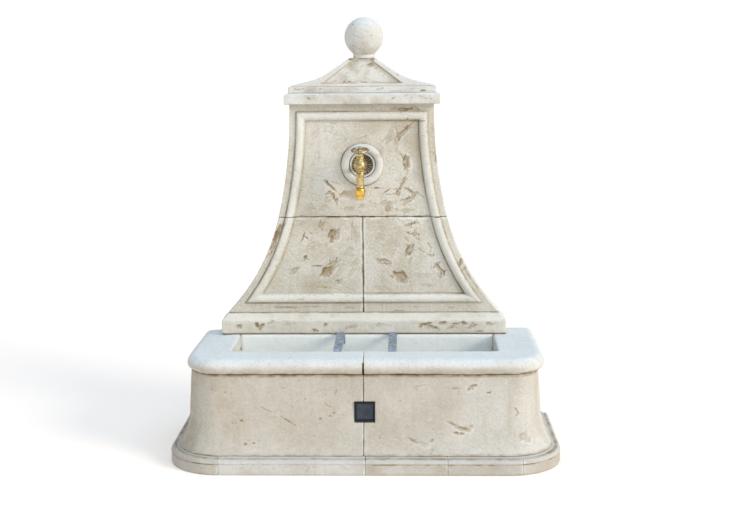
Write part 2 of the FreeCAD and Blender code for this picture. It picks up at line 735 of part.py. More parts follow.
make_plinth()
make_basin()
make_fittings()
make_upper_stone()
make_lower_stone("-1", "left")
make_lower_stone("1", "right")
make_cornice()
make_gable()
make_finial()
make_rings()
make_tap()
doc.recompute()

# ---------------------------------------------------------------- check and write
failed = [thing.Label for thing in doc.Objects if "Invalid" in thing.State or "Error" in thing.State]
if failed:
    raise RuntimeError("not recomputed: %s" % ", ".join(failed))
for piece in pieces:
    if piece.Shape.isNull() or not piece.Shape.isValid():
        raise RuntimeError("no sound shape: %s" % piece.Label)

os.makedirs("parts", exist_ok=True)
for piece in pieces:
    piece.Shape.exportStep("parts/%s.step" % piece.Label)
    extent = piece.Shape.BoundBox
    print("%-22s %d solid %9.1f cm3  x %7.1f %7.1f  y %7.1f %7.1f  z %7.1f %7.1f" % (
        piece.Label, len(piece.Shape.Solids), piece.Shape.Volume / 1000, extent.XMin, extent.XMax,
        extent.YMin, extent.YMax, extent.ZMin, extent.ZMax))
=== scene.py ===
# %% [markdown]
# # A wall fountain in cast stone
# This lesson builds the looks of a garden wall fountain over its engineering model: a trough basin on a
# moulded plinth, a tall backboard with curved sides and a framed field, a cornice, a low gable with a
# ball, and a brass tap. The engineering model comes in first as a fixed frame. Each stone is then built
# again around it with its real wear, so the places and sizes that the frame holds are read from it.

# %% Load the frame
import itertools
import json
import math

import bmesh
import bpy
import numpy as np
from mathutils import Matrix, Vector


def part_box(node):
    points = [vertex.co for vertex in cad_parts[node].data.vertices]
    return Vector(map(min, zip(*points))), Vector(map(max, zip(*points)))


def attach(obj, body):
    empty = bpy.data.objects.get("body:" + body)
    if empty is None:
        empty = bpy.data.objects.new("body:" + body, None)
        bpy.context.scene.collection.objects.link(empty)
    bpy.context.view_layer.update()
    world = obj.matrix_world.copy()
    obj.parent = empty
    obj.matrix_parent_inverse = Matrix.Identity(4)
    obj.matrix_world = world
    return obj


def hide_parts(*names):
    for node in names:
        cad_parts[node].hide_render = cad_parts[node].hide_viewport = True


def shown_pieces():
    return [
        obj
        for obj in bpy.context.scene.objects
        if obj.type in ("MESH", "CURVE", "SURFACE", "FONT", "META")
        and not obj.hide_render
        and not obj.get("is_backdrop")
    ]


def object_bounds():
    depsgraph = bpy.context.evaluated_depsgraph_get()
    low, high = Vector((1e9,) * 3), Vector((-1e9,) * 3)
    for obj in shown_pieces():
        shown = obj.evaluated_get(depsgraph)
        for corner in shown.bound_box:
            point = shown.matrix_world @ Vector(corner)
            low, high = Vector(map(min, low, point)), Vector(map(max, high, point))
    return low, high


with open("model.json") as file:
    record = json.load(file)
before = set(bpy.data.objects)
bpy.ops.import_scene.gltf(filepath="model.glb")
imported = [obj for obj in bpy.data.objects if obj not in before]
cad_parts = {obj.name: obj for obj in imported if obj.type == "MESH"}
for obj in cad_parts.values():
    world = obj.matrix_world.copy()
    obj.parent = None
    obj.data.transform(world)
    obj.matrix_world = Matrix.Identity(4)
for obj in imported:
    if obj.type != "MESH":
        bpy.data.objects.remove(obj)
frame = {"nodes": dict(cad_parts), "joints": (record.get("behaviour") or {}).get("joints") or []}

cad_low, cad_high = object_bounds()
MM = 0.001
print("the frame holds", len(frame["nodes"]), "pieces,", round(cad_high.z - cad_low.z, 3), "m tall")


# %% [markdown]
# ## The camera
# The camera is the first thing to settle, because every later choice is judged through it. It stands
# where a person stands, a little to the right of the middle, and looks slightly down. A rotation built
# from its yaw, pitch and roll keeps those three facts readable.

# %% Camera
EYE = Vector((0.1451, -4.2284, 1.4633))
YAW, PITCH, ROLL = 0.0318, 0.1704, -0.0091   # radians: to the left, downwards, anticlockwise
LENS_MM = 58.85

camera = bpy.data.objects.new("camera", bpy.data.cameras.new("camera"))
bpy.context.scene.collection.objects.link(camera)
level = Matrix.Rotation(math.pi / 2, 4, "X")
turn = Matrix.Rotation(YAW, 4, "Z") @ Matrix.Rotation(-PITCH, 4, "X")
camera.matrix_world = Matrix.Translation(EYE) @ turn @ level @ Matrix.Rotation(ROLL, 4, "Z")
camera.data.lens = LENS_MM
camera.data.sensor_width = 36.0
bpy.context.scene.camera = camera
print("camera at", tuple(round(c, 2) for c in EYE))


# %% [markdown]
# ## Colours and nodes
# Painters' colours are written as sRGB hex values, but a renderer adds up light, so one function turns
# them to linear. One more function adds a node with its settings and its links, and every material
# below is made with it.

# %% Two small helpers
def linear(hex_colour):
    """The linear RGBA of an sRGB hex colour."""
    parts = [int(hex_colour[i:i + 2], 16) / 255 for i in (1, 3, 5)]
    return (*[c / 12.92 if c <= 0.04045 else ((c + 0.055) / 1.055) ** 2.4 for c in parts], 1.0)


def node(tree, kind, sockets=None, **settings):
    """Adds a node; a socket takes either a value or the output that feeds it."""
    made = tree.nodes.new(kind)
    for name, value in settings.items():
        setattr(made, name, value)
    for key, value in (sockets or {}).items():
        if isinstance(value, bpy.types.NodeSocket):
            tree.links.new(value, made.inputs[key])
        else:
            made.inputs[key].default_value = value
    return made


# The colour sockets of a Mix node, which share their names with its number sockets.
COLOUR_A, COLOUR_B, COLOUR_OUT = 6, 7, 2
print("white is", linear("#ffffff"))


# %% [markdown]
# ## Light and floor
# The real fountain stands outdoors under an open, slightly blue sky, with warm low sun coming in softly
# from the right. Two very wide sun lamps give that without hard shadows: a warm one from the right and a
# cool one from above. The world adds an even glow that is brightest at the horizon, so that it meets the
# pale floor without a line.

# %% Lamps
def sun(name, towards, power, wide, tint):
    """A sun lamp that shines along a direction; wide is its apparent size in degrees."""
    lamp = bpy.data.objects.new(name, bpy.data.lights.new(name, "SUN"))
    lamp.data.energy = power
    lamp.data.angle = math.radians(wide)
    lamp.data.color = linear(tint)[:3]
    lamp.rotation_euler = Vector(towards).to_track_quat("-Z", "Y").to_euler()
    bpy.context.scene.collection.objects.link(lamp)
    return lamp


sun("low_sun", (-0.80, 0.46, -0.40), 1.75, 22, "#fff2e2")
sun("open_sky", (-0.10, 0.28, -1.0), 1.45, 70, "#dcecff")
bpy.context.scene.view_settings.view_transform = "Standard"


# %% [markdown]
# ### The glow of the open air
# A plain white world would light the stone evenly but flatly. Here the glow is white at the horizon and
# greyer higher up, so the pale floor and the air meet without a line and undersides stay a little darker.

# %% World glow
world = bpy.data.worlds.new("glow")
bpy.context.scene.world = world
world.use_nodes = True
sky = world.node_tree
sky.nodes.clear()
direction = node(sky, "ShaderNodeTexCoord")
height = node(sky, "ShaderNodeSeparateXYZ", {0: direction.outputs["Generated"]})
climb = node(sky, "ShaderNodeMapRange", {"Value": height.outputs["Z"], "From Min": 0.06, "From Max": 0.22})
glow = node(sky, "ShaderNodeMix", {"Factor": climb.outputs[0], COLOUR_A: linear("#ffffff"),
                                   COLOUR_B: linear("#a9b0b8")}, data_type="RGBA")
background = node(sky, "ShaderNodeBackground", {"Color": glow.outputs[COLOUR_OUT], "Strength": 1.0})
node(sky, "ShaderNodeOutputWorld", {"Surface": background.outputs[0]})
print("world nodes:", len(sky.nodes))


# %% [markdown]
# ### The floor
# The fountain stands on matt white paper. A studio would use a curved sweep; a very wide plane does the
# same, because it ends beyond the horizon. A little warm glow keeps its shadows pale.

# %% Floor
FLOOR_HALF = 60.0                              # metres
floor_mesh = bpy.data.meshes.new("floor")
corners = [(-1, -1), (1, -1), (1, 1), (-1, 1)]
floor_mesh.from_pydata([(x * FLOOR_HALF, y * FLOOR_HALF, 0.0) for x, y in corners], [], [(0, 1, 2, 3)])
floor = bpy.data.objects.new("floor", floor_mesh)
bpy.context.scene.collection.objects.link(floor)
paper = bpy.data.materials.new("matt_paper")
paper.use_nodes = True
paper_shader = paper.node_tree.nodes["Principled BSDF"]
paper_shader.inputs["Base Color"].default_value = linear("#fffaf2")
paper_shader.inputs["Emission Color"].default_value = linear("#ffdcc0")
paper_shader.inputs["Emission Strength"].default_value = 0.13
paper_shader.inputs["Roughness"].default_value = 1.0
floor_mesh.materials.append(paper)
floor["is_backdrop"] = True
print("floor", 2 * FLOOR_HALF, "m wide")


# %% [markdown]
# ## Noise, edges and chisel marks
# Cast stone is never flat: the mould leaves soft waves, rain eats small pits, and the maker cuts marks
# into it and rubs them with ochre. A displacement modifier could do some of this, but the marks also
# have to carry colour. So the shape is worked out in numpy, and the same numbers are stored on the mesh
# as two attributes that the stone material reads: one holds ochre and dirt together with painted shade,
# and "pale" holds rubbed pale stone together with painted highlights.

# %% Smooth noise
LATTICE_SIZE = 32
LATTICE = np.random.default_rng(11).random((LATTICE_SIZE,) * 3)


def noise(points, size, seed=0):
    """Smooth noise from -1 to 1 at each point; size is the spacing of its bumps in metres."""
    scaled = points / size + seed * 7.31
    cell = np.floor(scaled).astype(int)
    ease = scaled - cell
    ease = ease * ease * (3 - 2 * ease)
    total = np.zeros(len(points))
    for corner in itertools.product((0, 1), repeat=3):
        share = np.prod(np.where(corner, ease, 1 - ease), axis=1)
        i, j, k = ((cell + corner) % LATTICE_SIZE).T
        total += share * LATTICE[i, j, k]
    return 2 * total - 1


def rough(points, size, layers, seed=0):
    """Noise on noise, each layer half the size and half as strong, from about -1 to 1."""
    total = sum(noise(points, size / 2 ** n, seed + n) / 2 ** n for n in range(layers))
    return total / 1.5


def smooth(value, low=0.0, high=1.0):
    """Rises smoothly from 0 at low to 1 at high."""
    share = np.clip((value - low) / (high - low), 0, 1)
    return share * share * (3 - 2 * share)


print("noise at one point:", noise(np.zeros((1, 3)) + 0.4, 0.05))


# %% [markdown]
# ### Chisel marks
# Each mark is a chisel cut: steep on its upper side, running out on the lower, with a ragged outline. It
# has a middle, length, width, angle, depth and a share of ochre rubbed in, thickest at the steep side. The
# large marks are listed one by one, because they are what the eye knows the fountain by; small ones are
# strewn.

# %% Carving
TOOTH_LONG, TOOTH_WIDE = 20, 4.5               # the chisel's teeth draw streaks of this size, in mm


def carve(points, facing, marks, seed=0):
    """Depth in metres, ochre with painted shadow, and a pale edge with painted highlight that a list of marks
    gives to the points that face out.

    A mark is (x, z, length, width, angle, depth, stain): millimetres and degrees from level."""
    depth, stain, pale = (np.zeros(len(points)) for _ in range(3))
    for x, z, length, width, angle, deep, ochre in marks:
        reach = (length + width) * MM
        close = (abs(points[:, 0] - x * MM) < reach) & (abs(points[:, 2] - z * MM) < reach)
        near = np.flatnonzero(facing & close)
        if not len(near):
            continue
        across, up = points[near, 0] - x * MM, points[near, 2] - z * MM
        cosine, sine = math.cos(math.radians(angle)), math.sin(math.radians(angle))
        along = (across * cosine + up * sine) / (length * MM / 2)
        beside = (up * cosine - across * sine) / (width * MM / 2)
        grit = noise(points[near], 6 * MM, seed + 5)
        stroke = np.stack([along * length / 2 / TOOTH_LONG, beside * width / 2 / TOOTH_WIDE,
                           np.full(len(near), x * 0.37)], axis=1)
        streak = noise(stroke, 1.0, seed + 7)
        ragged = 0.34 * noise(points[near], max(width * MM * 0.6, 5 * MM), seed + 3) + 0.20 * grit
        ragged += 0.50 * streak * np.clip(abs(along) + 0.35, 0, 1)
        pointed = np.maximum(0.4, 1 - 0.6 * along ** 2)
        away = np.sqrt(along ** 2 + (beside / pointed) ** 2) + ragged
        cut = np.clip(0.55 + 0.6 * beside, 0.12, 1)
        toothed = np.clip(0.85 + 0.55 * streak, 0.2, 1.3)
        depth[near] = np.maximum(depth[near], 1.3 * deep * MM * smooth(away, 1.05, 0.55) * cut * toothed)
        smear = smooth(away, 1.20, 0.50) * (0.45 + 0.35 * cut + 0.25 * grit + 0.35 * streak)
        # Painted shadow: a dark line along each cut's steep upper side.
        painted_crease_shadow = smooth(beside, 0.15, 0.6) * smooth(away, 1.25, 1.0) * smooth(away, 0.45, 0.8)
        stain[near] = np.maximum(stain[near], ochre * np.maximum(smear, 1.1 * painted_crease_shadow))
        # Painted highlight: a pale edge round each cut, mostly on its lower side.
        rim = smooth(away, 1.45, 1.10) * smooth(away, 0.80, 1.05) * smooth(ragged - 0.5 * beside, -0.25, 0.4)
        pale[near] = np.maximum(pale[near], 0.75 * min(1.0, deep / 3) * rim)
    return depth, stain, pale


print("a mark's streaks are", TOOTH_WIDE, "mm wide")


# %% [markdown]
# ### Strewn marks and skidding strokes
# Hundreds of small marks would be tedious by hand, so a seeded random draw strews them, thicker in some
# places. A broad cut alone looks like a leaf; a real one has thin strokes beside it, where the chisel
# skidded, and a second helper adds those.

# %% Strewn marks
def scatter(count, area, length, width, depth, ochre, seed):
    """Small marks strewn over an area (x from, x to, z from, z to) in millimetres."""
    draw = np.random.default_rng(seed)
    marks = []
    for _ in range(count):
        x, z = draw.uniform(area[0], area[1]), draw.uniform(area[2], area[3])
        thick = smooth(noise(np.array([[x * MM, 0.0, z * MM]]), 0.13, 19), -0.6, 0.5)[0]
        strength = draw.random() ** 1.4 * (0.25 + 0.75 * thick)
        marks.append((x, z, draw.uniform(*length), draw.uniform(*width), draw.normal(10, 40),
                      depth * (0.3 + 0.7 * strength), ochre * strength))
    return marks


def frayed(marks, seed, least=10, strokes=4):
    """The marks, and beside each broad one a few thin strokes where the chisel skidded."""
    draw = np.random.default_rng(seed)
    result = list(marks)
    for x, z, length, width, angle, deep, ochre in marks:
        if width < least or ochre < 0.35:
            continue
        cosine, sine = math.cos(math.radians(angle)), math.sin(math.radians(angle))
        for _ in range(strokes):
            along, beside = draw.uniform(-0.55, 0.55) * length, draw.uniform(-0.65, 0.65) * width
            result.append((x + along * cosine - beside * sine, z + along * sine + beside * cosine,
                           max(12, length * draw.uniform(0.25, 0.6)), draw.uniform(3.0, 5.5),
                           angle + draw.normal(0, 24), 0.9 * deep, min(1.0, ochre + 0.15)))
    return result


print("a scattered mark:", [round(v, 1) for v in scatter(1, (0, 10, 0, 10), (8, 20), (2, 5), 1, 0.4, 1)[0]])


# %% [markdown]
# ### From points to a piece
# Most stones are lofts: a closed outline is repeated along a path, and the rings are joined by quads. The
# next cell turns such rings into a mesh, closes both ends, and stores the two attributes. Edges sharper
# than 50 degrees stay sharp in the shading.

# %% Rings into a mesh
def ring_faces(rings, around, closed_path=False):
    """Quads between successive rings of points."""
    rows = np.arange(rings if closed_path else rings - 1)[:, None]
    columns = np.arange(around)[None, :]
    here, there = rows * around, (rows + 1) % rings * around
    beside = (columns + 1) % around
    quads = np.stack([here + columns, there + columns, there + beside, here + beside], axis=-1)
    return [tuple(q) for q in quads.reshape(-1, 4).tolist()]


def capped_faces(rings, around):
    """The quads of an open loft and the two faces that close its ends."""
    total = rings * around
    caps = [tuple(range(around - 1, -1, -1)), tuple(range(total - around, total))]
    return ring_faces(rings, around) + caps


print("a loft of 3 rings of 4 has", len(ring_faces(3, 4)), "quads")


# %% [markdown]
# ### A mesh and its place
# The mesh carries the two attributes to its material. Placing it parents it to the empty of the body it
# rides on, hides the CAD nodes it stands for and gives it the material of its slot.

# %% A mesh and its place
MATERIALS = {}


def make_mesh(name, points, faces, **attributes):
    """A mesh with smooth shading and a float attribute for each list of values."""
    mesh = bpy.data.meshes.new(name)
    mesh.from_pydata([tuple(p) for p in np.asarray(points).tolist()], [], faces)
    for key, values in attributes.items():
        layer = mesh.attributes.new(key, "FLOAT", "POINT")
        layer.data.foreach_set("value", np.asarray(values, np.float32))
    mesh.shade_smooth()
    mesh.update()
    mesh.set_sharp_from_angle(angle=math.radians(50))
    mesh.validate()
    return mesh


def place(name, mesh, nodes, slot, body="fountain"):
    """Puts a mesh in the scene as a piece that stands for CAD nodes and rides on their body."""
    piece = bpy.data.objects.new(name, mesh)
    bpy.context.scene.collection.objects.link(piece)
    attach(piece, body)
    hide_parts(*nodes)
    mesh.materials.append(MATERIALS[slot])
    return piece


def set_outward(mesh):
    """Turns every face to look out of the solid."""
    work = bmesh.new()
    work.from_mesh(mesh)
    bmesh.ops.recalc_face_normals(work, faces=work.faces)
    work.to_mesh(mesh)
    work.free()


def outward(rings):
    """Unit normals that look out of a loft, one row for each point of its rings."""
    around = np.roll(rings, -1, axis=1) - np.roll(rings, 1, axis=1)
    along = np.gradient(rings, axis=0)
    normals = np.cross(around, along)
    normals = (normals / np.maximum(np.linalg.norm(normals, axis=2, keepdims=True), 1e-12)).reshape(-1, 3)
    points = rings.reshape(-1, 3)
    looks_in = np.sum(normals * (points - points.mean(axis=0))) < 0
    return -normals if looks_in else normals


print("an edge stays sharp above 50 degrees")


# %% [markdown]
# ## Stone
# The stone is cast limestone: crushed limestone and white cement rammed into a mould. It is dull, with a
# roughness near 0.9 and an IOR of about 1.5. Its colour drifts from cream to warm grey over a hand's
# breadth, ochre lies in the hollows, edges are rubbed pale, and faces that look up are paler and bluer,
# partly from rain and partly as painted sky light. Sand grains of 1 to 2 mm are too fine to show from where
# one stands, so the grain is drawn at 3 mm.
#
# Its patterns are noises in the stone's own coordinates. A painted texture would be another way, but it
# stretches round corners and repeats; a noise does neither. Rain runs are drawn out downwards, and the
# trowel's scratches slant.

# %% Stone patterns
RUN_STRETCH, SCRATCH_STRETCH, SCRATCH_SLANT = 0.10, 6.0, math.radians(28)


def stone_patterns(tree):
    """The patterns a stone is coloured with, by name, each from its real size in millimetres."""
    place_of = node(tree, "ShaderNodeTexCoord").outputs["Object"]
    running = node(tree, "ShaderNodeMapping", {"Vector": place_of, "Scale": (1.0, 1.0, RUN_STRETCH)})
    slanting = node(tree, "ShaderNodeMapping", {"Vector": place_of, "Rotation": (0.0, SCRATCH_SLANT, 0.0),
                                                "Scale": (SCRATCH_STRETCH, 1.0, 1.0)}, vector_type="TEXTURE")
    noises = [  # name, coordinates, size in mm, detail, roughness, distortion
        ("drift", place_of, 160, 5.0, 0.6, 0.0),            # a hand's breadth: one pour beside the next
        ("cloud", place_of, 28, 4.0, 0.65, 0.0),            # damp patches
        ("mottle", place_of, 8, 3.0, 0.6, 0.0),             # crushed stone showing through the cement
        ("grain", place_of, 3, 2.0, 0.5, 0.0),              # sand, drawn coarser than it is
        ("run", running.outputs[0], 22, 3.0, 0.5, 0.0),     # rain runs
        ("scratch", slanting.outputs[0], 6, 2.0, 0.5, 0.5),
    ]
    found = {}
    for name, coordinates, size, detail, roughness, distortion in noises:
        sockets = {"Vector": coordinates, "Scale": 1 / (size * MM), "Detail": detail, "Roughness": roughness,
                   "Distortion": distortion}
        found[name] = node(tree, "ShaderNodeTexNoise", sockets).outputs["Fac"]
    pit = node(tree, "ShaderNodeTexVoronoi", {"Vector": place_of, "Scale": 1 / (11 * MM), "Randomness": 1.0})
    found["pit"] = pit.outputs["Distance"]
    for name in ("stain", "pale"):
        found[name] = node(tree, "ShaderNodeAttribute", attribute_name=name).outputs["Fac"]
    # How far a face looks up; it drives the painted sky light on faces that look up.
    normal = node(tree, "ShaderNodeNewGeometry").outputs["Normal"]
    found["rise"] = node(tree, "ShaderNodeSeparateXYZ", {0: normal}).outputs["Z"]
    return found


print("rain runs are", 1 / RUN_STRETCH, "times as long as they are wide")


# %% [markdown]
# ### Layers of colour
# The colour is built up as a painter would: a light ground, then one thin wash after another, each let
# through by a pattern. One table and one loop take the place of a long chain of nodes.

# %% Stone material
def cast_stone(name, light, dark, ochre="#937a50", bleached_and_skylit="#e6eaeb", streaks=0.0, tooled=0.5):
    """Cast limestone with washes, pits and grain, all in real sizes."""
    stone = bpy.data.materials.new(name)
    stone.use_nodes = True
    tree = stone.node_tree
    shader = tree.nodes["Principled BSDF"]
    found = stone_patterns(tree)

    # Pits come only where the stone is cloudy, scratches only where it was trowelled, and ochre and painted
    # shade are patchy.
    ranges = [("sparse", "cloud", 0.56, 0.66, 0.0, 1.0), ("hole", "pit", 0.26, 0.10, 0.0, 1.0),
              ("trowelled", "drift", 0.42, 0.60, 0.0, tooled), ("line", "scratch", 0.56, 0.70, 0.0, 1.0),
              ("uneven", "cloud", 0.28, 0.60, 0.6, 1.0)]
    for result, pattern, low, high, least, most in ranges:
        sockets = {"Value": found[pattern], "From Min": low, "From Max": high, "To Min": least,
                   "To Max": most}
        found[result] = node(tree, "ShaderNodeMapRange", sockets).outputs[0]
    for result, one, other in (("pitted", "sparse", "hole"), ("scored", "trowelled", "line"),
                               ("broken", "stain", "uneven")):
        both = {0: found[one], 1: found[other]}
        found[result] = node(tree, "ShaderNodeMath", both, operation="MULTIPLY").outputs[0]

    # The rise wash below is painted sky light, with some rain bleaching: faces that look up turn paler and
    # bluer. The two broken washes colour the attribute of ochre, dirt and painted shade, so their tints paint
    # shade too, and the pale wash lightens rubbed edges and painted highlights alike.
    washes = [  # pattern, where it starts and is full, strength, tint
        ("drift", 0.36, 0.66, 0.90, dark), ("cloud", 0.62, 0.36, 0.35, dark),
        ("run", 0.52, 0.72, streaks, "#b5a68d"), ("cloud", 0.58, 0.76, 0.35, bleached_and_skylit),
        ("rise", 0.35, 0.95, 0.75, bleached_and_skylit), ("cloud", 0.50, 0.68, 0.30, dark),
        ("mottle", 0.50, 0.66, 0.55, dark), ("mottle", 0.48, 0.34, 0.45, bleached_and_skylit),
        ("pale", 0.0, 1.0, 0.85, "#ebebe6"), ("broken", 0.04, 0.72, 0.90, ochre),
        ("broken", 0.60, 1.0, 0.60, "#6a5635"), ("scored", 0.0, 1.0, 0.60, "#9d8e76"),
        ("pitted", 0.2, 0.9, 0.45, "#8d7c64"), ("grain", 0.55, 0.75, 0.18, "#8f8474"),
    ]
    shade = linear(light)
    for pattern, low, high, strength, tint in washes:
        amount = node(tree, "ShaderNodeMapRange", {"Value": found[pattern], "From Min": low, "From Max": high,
                                                   "To Max": strength}).outputs[0]
        shade = node(tree, "ShaderNodeMix", {"Factor": amount, COLOUR_A: shade, COLOUR_B: linear(tint)},
                     data_type="RGBA").outputs[COLOUR_OUT]
    tree.links.new(shade, shader.inputs["Base Color"])

    gloss = node(tree, "ShaderNodeMapRange", {"Value": found["cloud"], "To Min": 0.82, "To Max": 0.96})
    tree.links.new(gloss.outputs[0], shader.inputs["Roughness"])
    raised = [("cloud", 0.55, 4.0, False), ("grain", 0.35, 1.2, False), ("pitted", 0.6, 2.0, True),
              ("scored", 0.7, 2.0, True)]
    bumpy = {}
    for pattern, strength, depth_mm, hollow in raised:
        sockets = {"Height": found[pattern], "Strength": strength, "Distance": depth_mm * MM, **bumpy}
        bumpy = {"Normal": node(tree, "ShaderNodeBump", sockets, invert=hollow).outputs[0]}
    tree.links.new(bumpy["Normal"], shader.inputs["Normal"])
    shader.inputs["IOR"].default_value = 1.5
    shader.inputs["Specular IOR Level"].default_value = 0.3
    return stone


print("a stone is painted in washes over its light ground")


# %% [markdown]
# ### The stones of this fountain
# All of it is cast limestone, but the weather has treated its parts differently. The backboard was rubbed
# with ochre; rims, cornices and ball are whitened by rain; the plinth is greyer from the ground. The
# basin's front was trowelled smooth, and its stone is made a little darker as painted shade; the slab's front
# band catches the light and is paler; and the inside of the trough is made nearly white, a painted light for
# its shaded inside. So each gets its own light and dark.

# %% Stones
MATERIALS["cast_stone"] = cast_stone("cast_limestone_ochre_washed", "#dcdad1", "#c8c1ae", streaks=0.30)
MATERIALS["weathered_stone"] = cast_stone("cast_limestone_rain_bleached", "#e3e3dd", "#cecbc1",
                                          bleached_and_skylit="#dbe4e8", streaks=0.10, tooled=0.35)
MATERIALS["plinth_stone"] = cast_stone("cast_limestone_grey", "#d2d2ce", "#bbb8b0", bleached_and_skylit="#c8c9c6",
                                       streaks=0.12, tooled=0.3)
# The basin's stone is a slightly darker copy of the backboard's: painted shade, besides its smoother finish.
basin_stone_darkened = cast_stone("cast_limestone_trowelled_darkened", "#d5d3ca", "#c3beb3", bleached_and_skylit="#d9d9d2",
                         streaks=0.26, tooled=0.3)
slab_stone = cast_stone("cast_limestone_sunlit_band", "#ece9df", "#d8d2c3", bleached_and_skylit="#d9dad1",
                        streaks=0.2, tooled=0.3)
# The trough's stone is made nearly white, brighter than the stone outside: painted light for the shaded inside
# of the trough.
trough_brightened_stone = cast_stone("cast_limestone_brightened_trough", "#fafffd", "#f2faf8", bleached_and_skylit="#f8ffff", tooled=0.0)
print("stones:", [m.name for m in MATERIALS.values()])


# %% [markdown]
# ## Metals
# The bars across the trough are mill-finish steel with a thin blue-grey scale. The overflow plate is
# painted blue-black. The tap is cast brass: the body is satin and antiqued, the handwheel and rosette
# have gone dark bronze brown with green in the hollows, and the nozzle is new and polished. All are true
# metals, so they keep the default IOR, and their colour is the colour of their reflection.

# %% Metal material
def metal(name, bare, patina, hollow, cover, roughness, dull, spot_mm, paint=False):
    """A metal with patina over part of it; cover is how much, dull is the patina's roughness."""
    finish = bpy.data.materials.new(name)
    finish.use_nodes = True
    tree = finish.node_tree
    shader = tree.nodes["Principled BSDF"]
    place_of = node(tree, "ShaderNodeTexCoord").outputs["Object"]
    spot = node(tree, "ShaderNodeTexNoise", {"Vector": place_of, "Scale": 1 / (spot_mm * MM), "Detail": 5.0,
                                             "Roughness": 0.65})
    fine = node(tree, "ShaderNodeTexNoise", {"Vector": place_of, "Scale": 5 / (spot_mm * MM), "Detail": 2.0})
    worn = node(tree, "ShaderNodeMapRange", {"Value": spot.outputs["Fac"], "From Min": 0.62 - 0.4 * cover,
                                             "From Max": 0.78 - 0.4 * cover})
    deep = node(tree, "ShaderNodeMapRange", {"Value": fine.outputs["Fac"], "From Min": 0.55, "From Max": 0.75,
                                             "To Max": 0.6})
    stain = node(tree, "ShaderNodeAttribute", attribute_name="stain")
    shade = linear(bare)
    layers = ((worn.outputs[0], patina), (deep.outputs[0], hollow), (stain.outputs["Fac"], hollow))
    for amount, tint in layers:
        shade = node(tree, "ShaderNodeMix", {"Factor": amount, COLOUR_A: shade, COLOUR_B: linear(tint)},
                     data_type="RGBA").outputs[COLOUR_OUT]
    tree.links.new(shade, shader.inputs["Base Color"])
    gloss = node(tree, "ShaderNodeMapRange", {"Value": worn.outputs[0], "To Min": roughness, "To Max": dull})
    tree.links.new(gloss.outputs[0], shader.inputs["Roughness"])
    bump = node(tree, "ShaderNodeBump", {"Height": fine.outputs["Fac"], "Strength": 0.25, "Distance": 0.0004})
    tree.links.new(bump.outputs[0], shader.inputs["Normal"])
    shader.inputs["Metallic"].default_value = 0.0 if paint else 1.0
    return finish


MATERIALS["grey_steel"] = metal("mill_scale_steel", "#bccbe2", "#8d9bb0", "#667183", 0.45, 0.42, 0.6, 14)
MATERIALS["blued_steel"] = metal("blue_black_paint", "#26313f", "#36424f", "#0b0e13", 0.4, 0.45, 0.6, 16,
                                 paint=True)
MATERIALS["aged_bronze"] = metal("brown_patina_bronze", "#cdbd9f", "#8f7e66", "#515447", 0.5, 0.38, 0.6, 6)
MATERIALS["aged_brass"] = metal("antiqued_brass", "#dec88f", "#b09766", "#6b5936", 0.45, 0.30, 0.5, 8)
MATERIALS["polished_brass"] = metal("polished_brass", "#efc05c", "#dda545", "#a97a34", 0.3, 0.18, 0.32, 12)
print("metals:", [MATERIALS[k].name for k in list(MATERIALS)[3:]])


# %% [markdown]
# ## Sections that run round the basin
# The plinth, the basin and the rim are each one section carried along the same path: along the front,
# round a quarter circle and back to the wall. Lofting the section keeps the mouldings crisp, which a
# voxel remesh would blur. A point of a section is (inset from the foot, share of the way to the inner
# face, height), in millimetres, so the same section can be wide at the front and wider at the sides.

# %% Section helpers
def evenly(start, end, step):
    return np.linspace(start, end, max(2, int(round(abs(end - start) / step)) + 1))


def arc_points(start, end, radius, side, step=2.5):
    """Points of the short arc from start to end; its centre is left (1) or right (-1) of the way."""
    start, end = np.array(start, float), np.array(end, float)
    chord = end - start
    length = np.hypot(*chord)
    left = np.array([-chord[1], chord[0]]) / length
    centre = (start + end) / 2 + left * side * math.sqrt(max(radius ** 2 - length ** 2 / 4, 0))
    first = math.atan2(*(start - centre)[::-1])
    sweep = 2 * math.asin(min(1.0, length / (2 * radius))) * side
    angles = first + np.linspace(0, sweep, max(3, int(abs(sweep) * radius / step) + 1))
    return [(centre[0] + radius * math.cos(a), centre[1] + radius * math.sin(a)) for a in angles]


def joined_runs(*runs):
    """One list of points from several, without the points that two runs share."""
    points = []
    for run in runs:
        for point in run:
            if not points or math.dist(point, points[-1]) > 1e-6:
                points.append(tuple(point))
    return np.array(points, float)


def worn(section, passes):
    """Rounds a section's arrises by averaging each point with its neighbours."""
    for _ in range(passes):
        section = (np.roll(section, 1, axis=0) + 2 * section + np.roll(section, -1, axis=0)) / 4
    return section


print("a quarter circle of radius 10 has", len(arc_points((0, 0), (10, 10), 10, 1)), "points")


# %% [markdown]
# ### The path round the basin
# The path is measured from the middle of the front, along half the basin and back to the wall. Stops lie
# close together near a joint, where the arris is worn round, and far apart where nothing happens.

# %% The path
ROUND = 195.0                                  # radius of the plan's front corners
HALF = cad_high.x / MM
WALL_Y = cad_high.y / MM
TURN_X, TURN_Y = HALF - ROUND, -WALL_Y + ROUND
TROUGH = [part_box("basin_floor")[0].y / MM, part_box("basin_floor")[1].x / MM]   # inner front y, inner side x
JOINT_GAP = 0.8                                # half of a joint's open width
STRAIGHT, CORNER = TURN_X, ROUND * math.pi / 2
PATH_END = STRAIGHT + CORNER + (WALL_Y - TURN_Y)


def stations(start, end, step, extra=()):
    """Stops along the path from start to end, closer together near both ends and at extra places."""
    near = [0.0, 0.6, 1.4, 2.6, 4.2, 6.5]
    middle = evenly(start + 9, end - 9, step)
    stops = [start + d for d in near] + list(middle) + [end - d for d in reversed(near)] + list(extra)
    return np.unique(np.round([s for s in stops if start <= s <= end], 3))


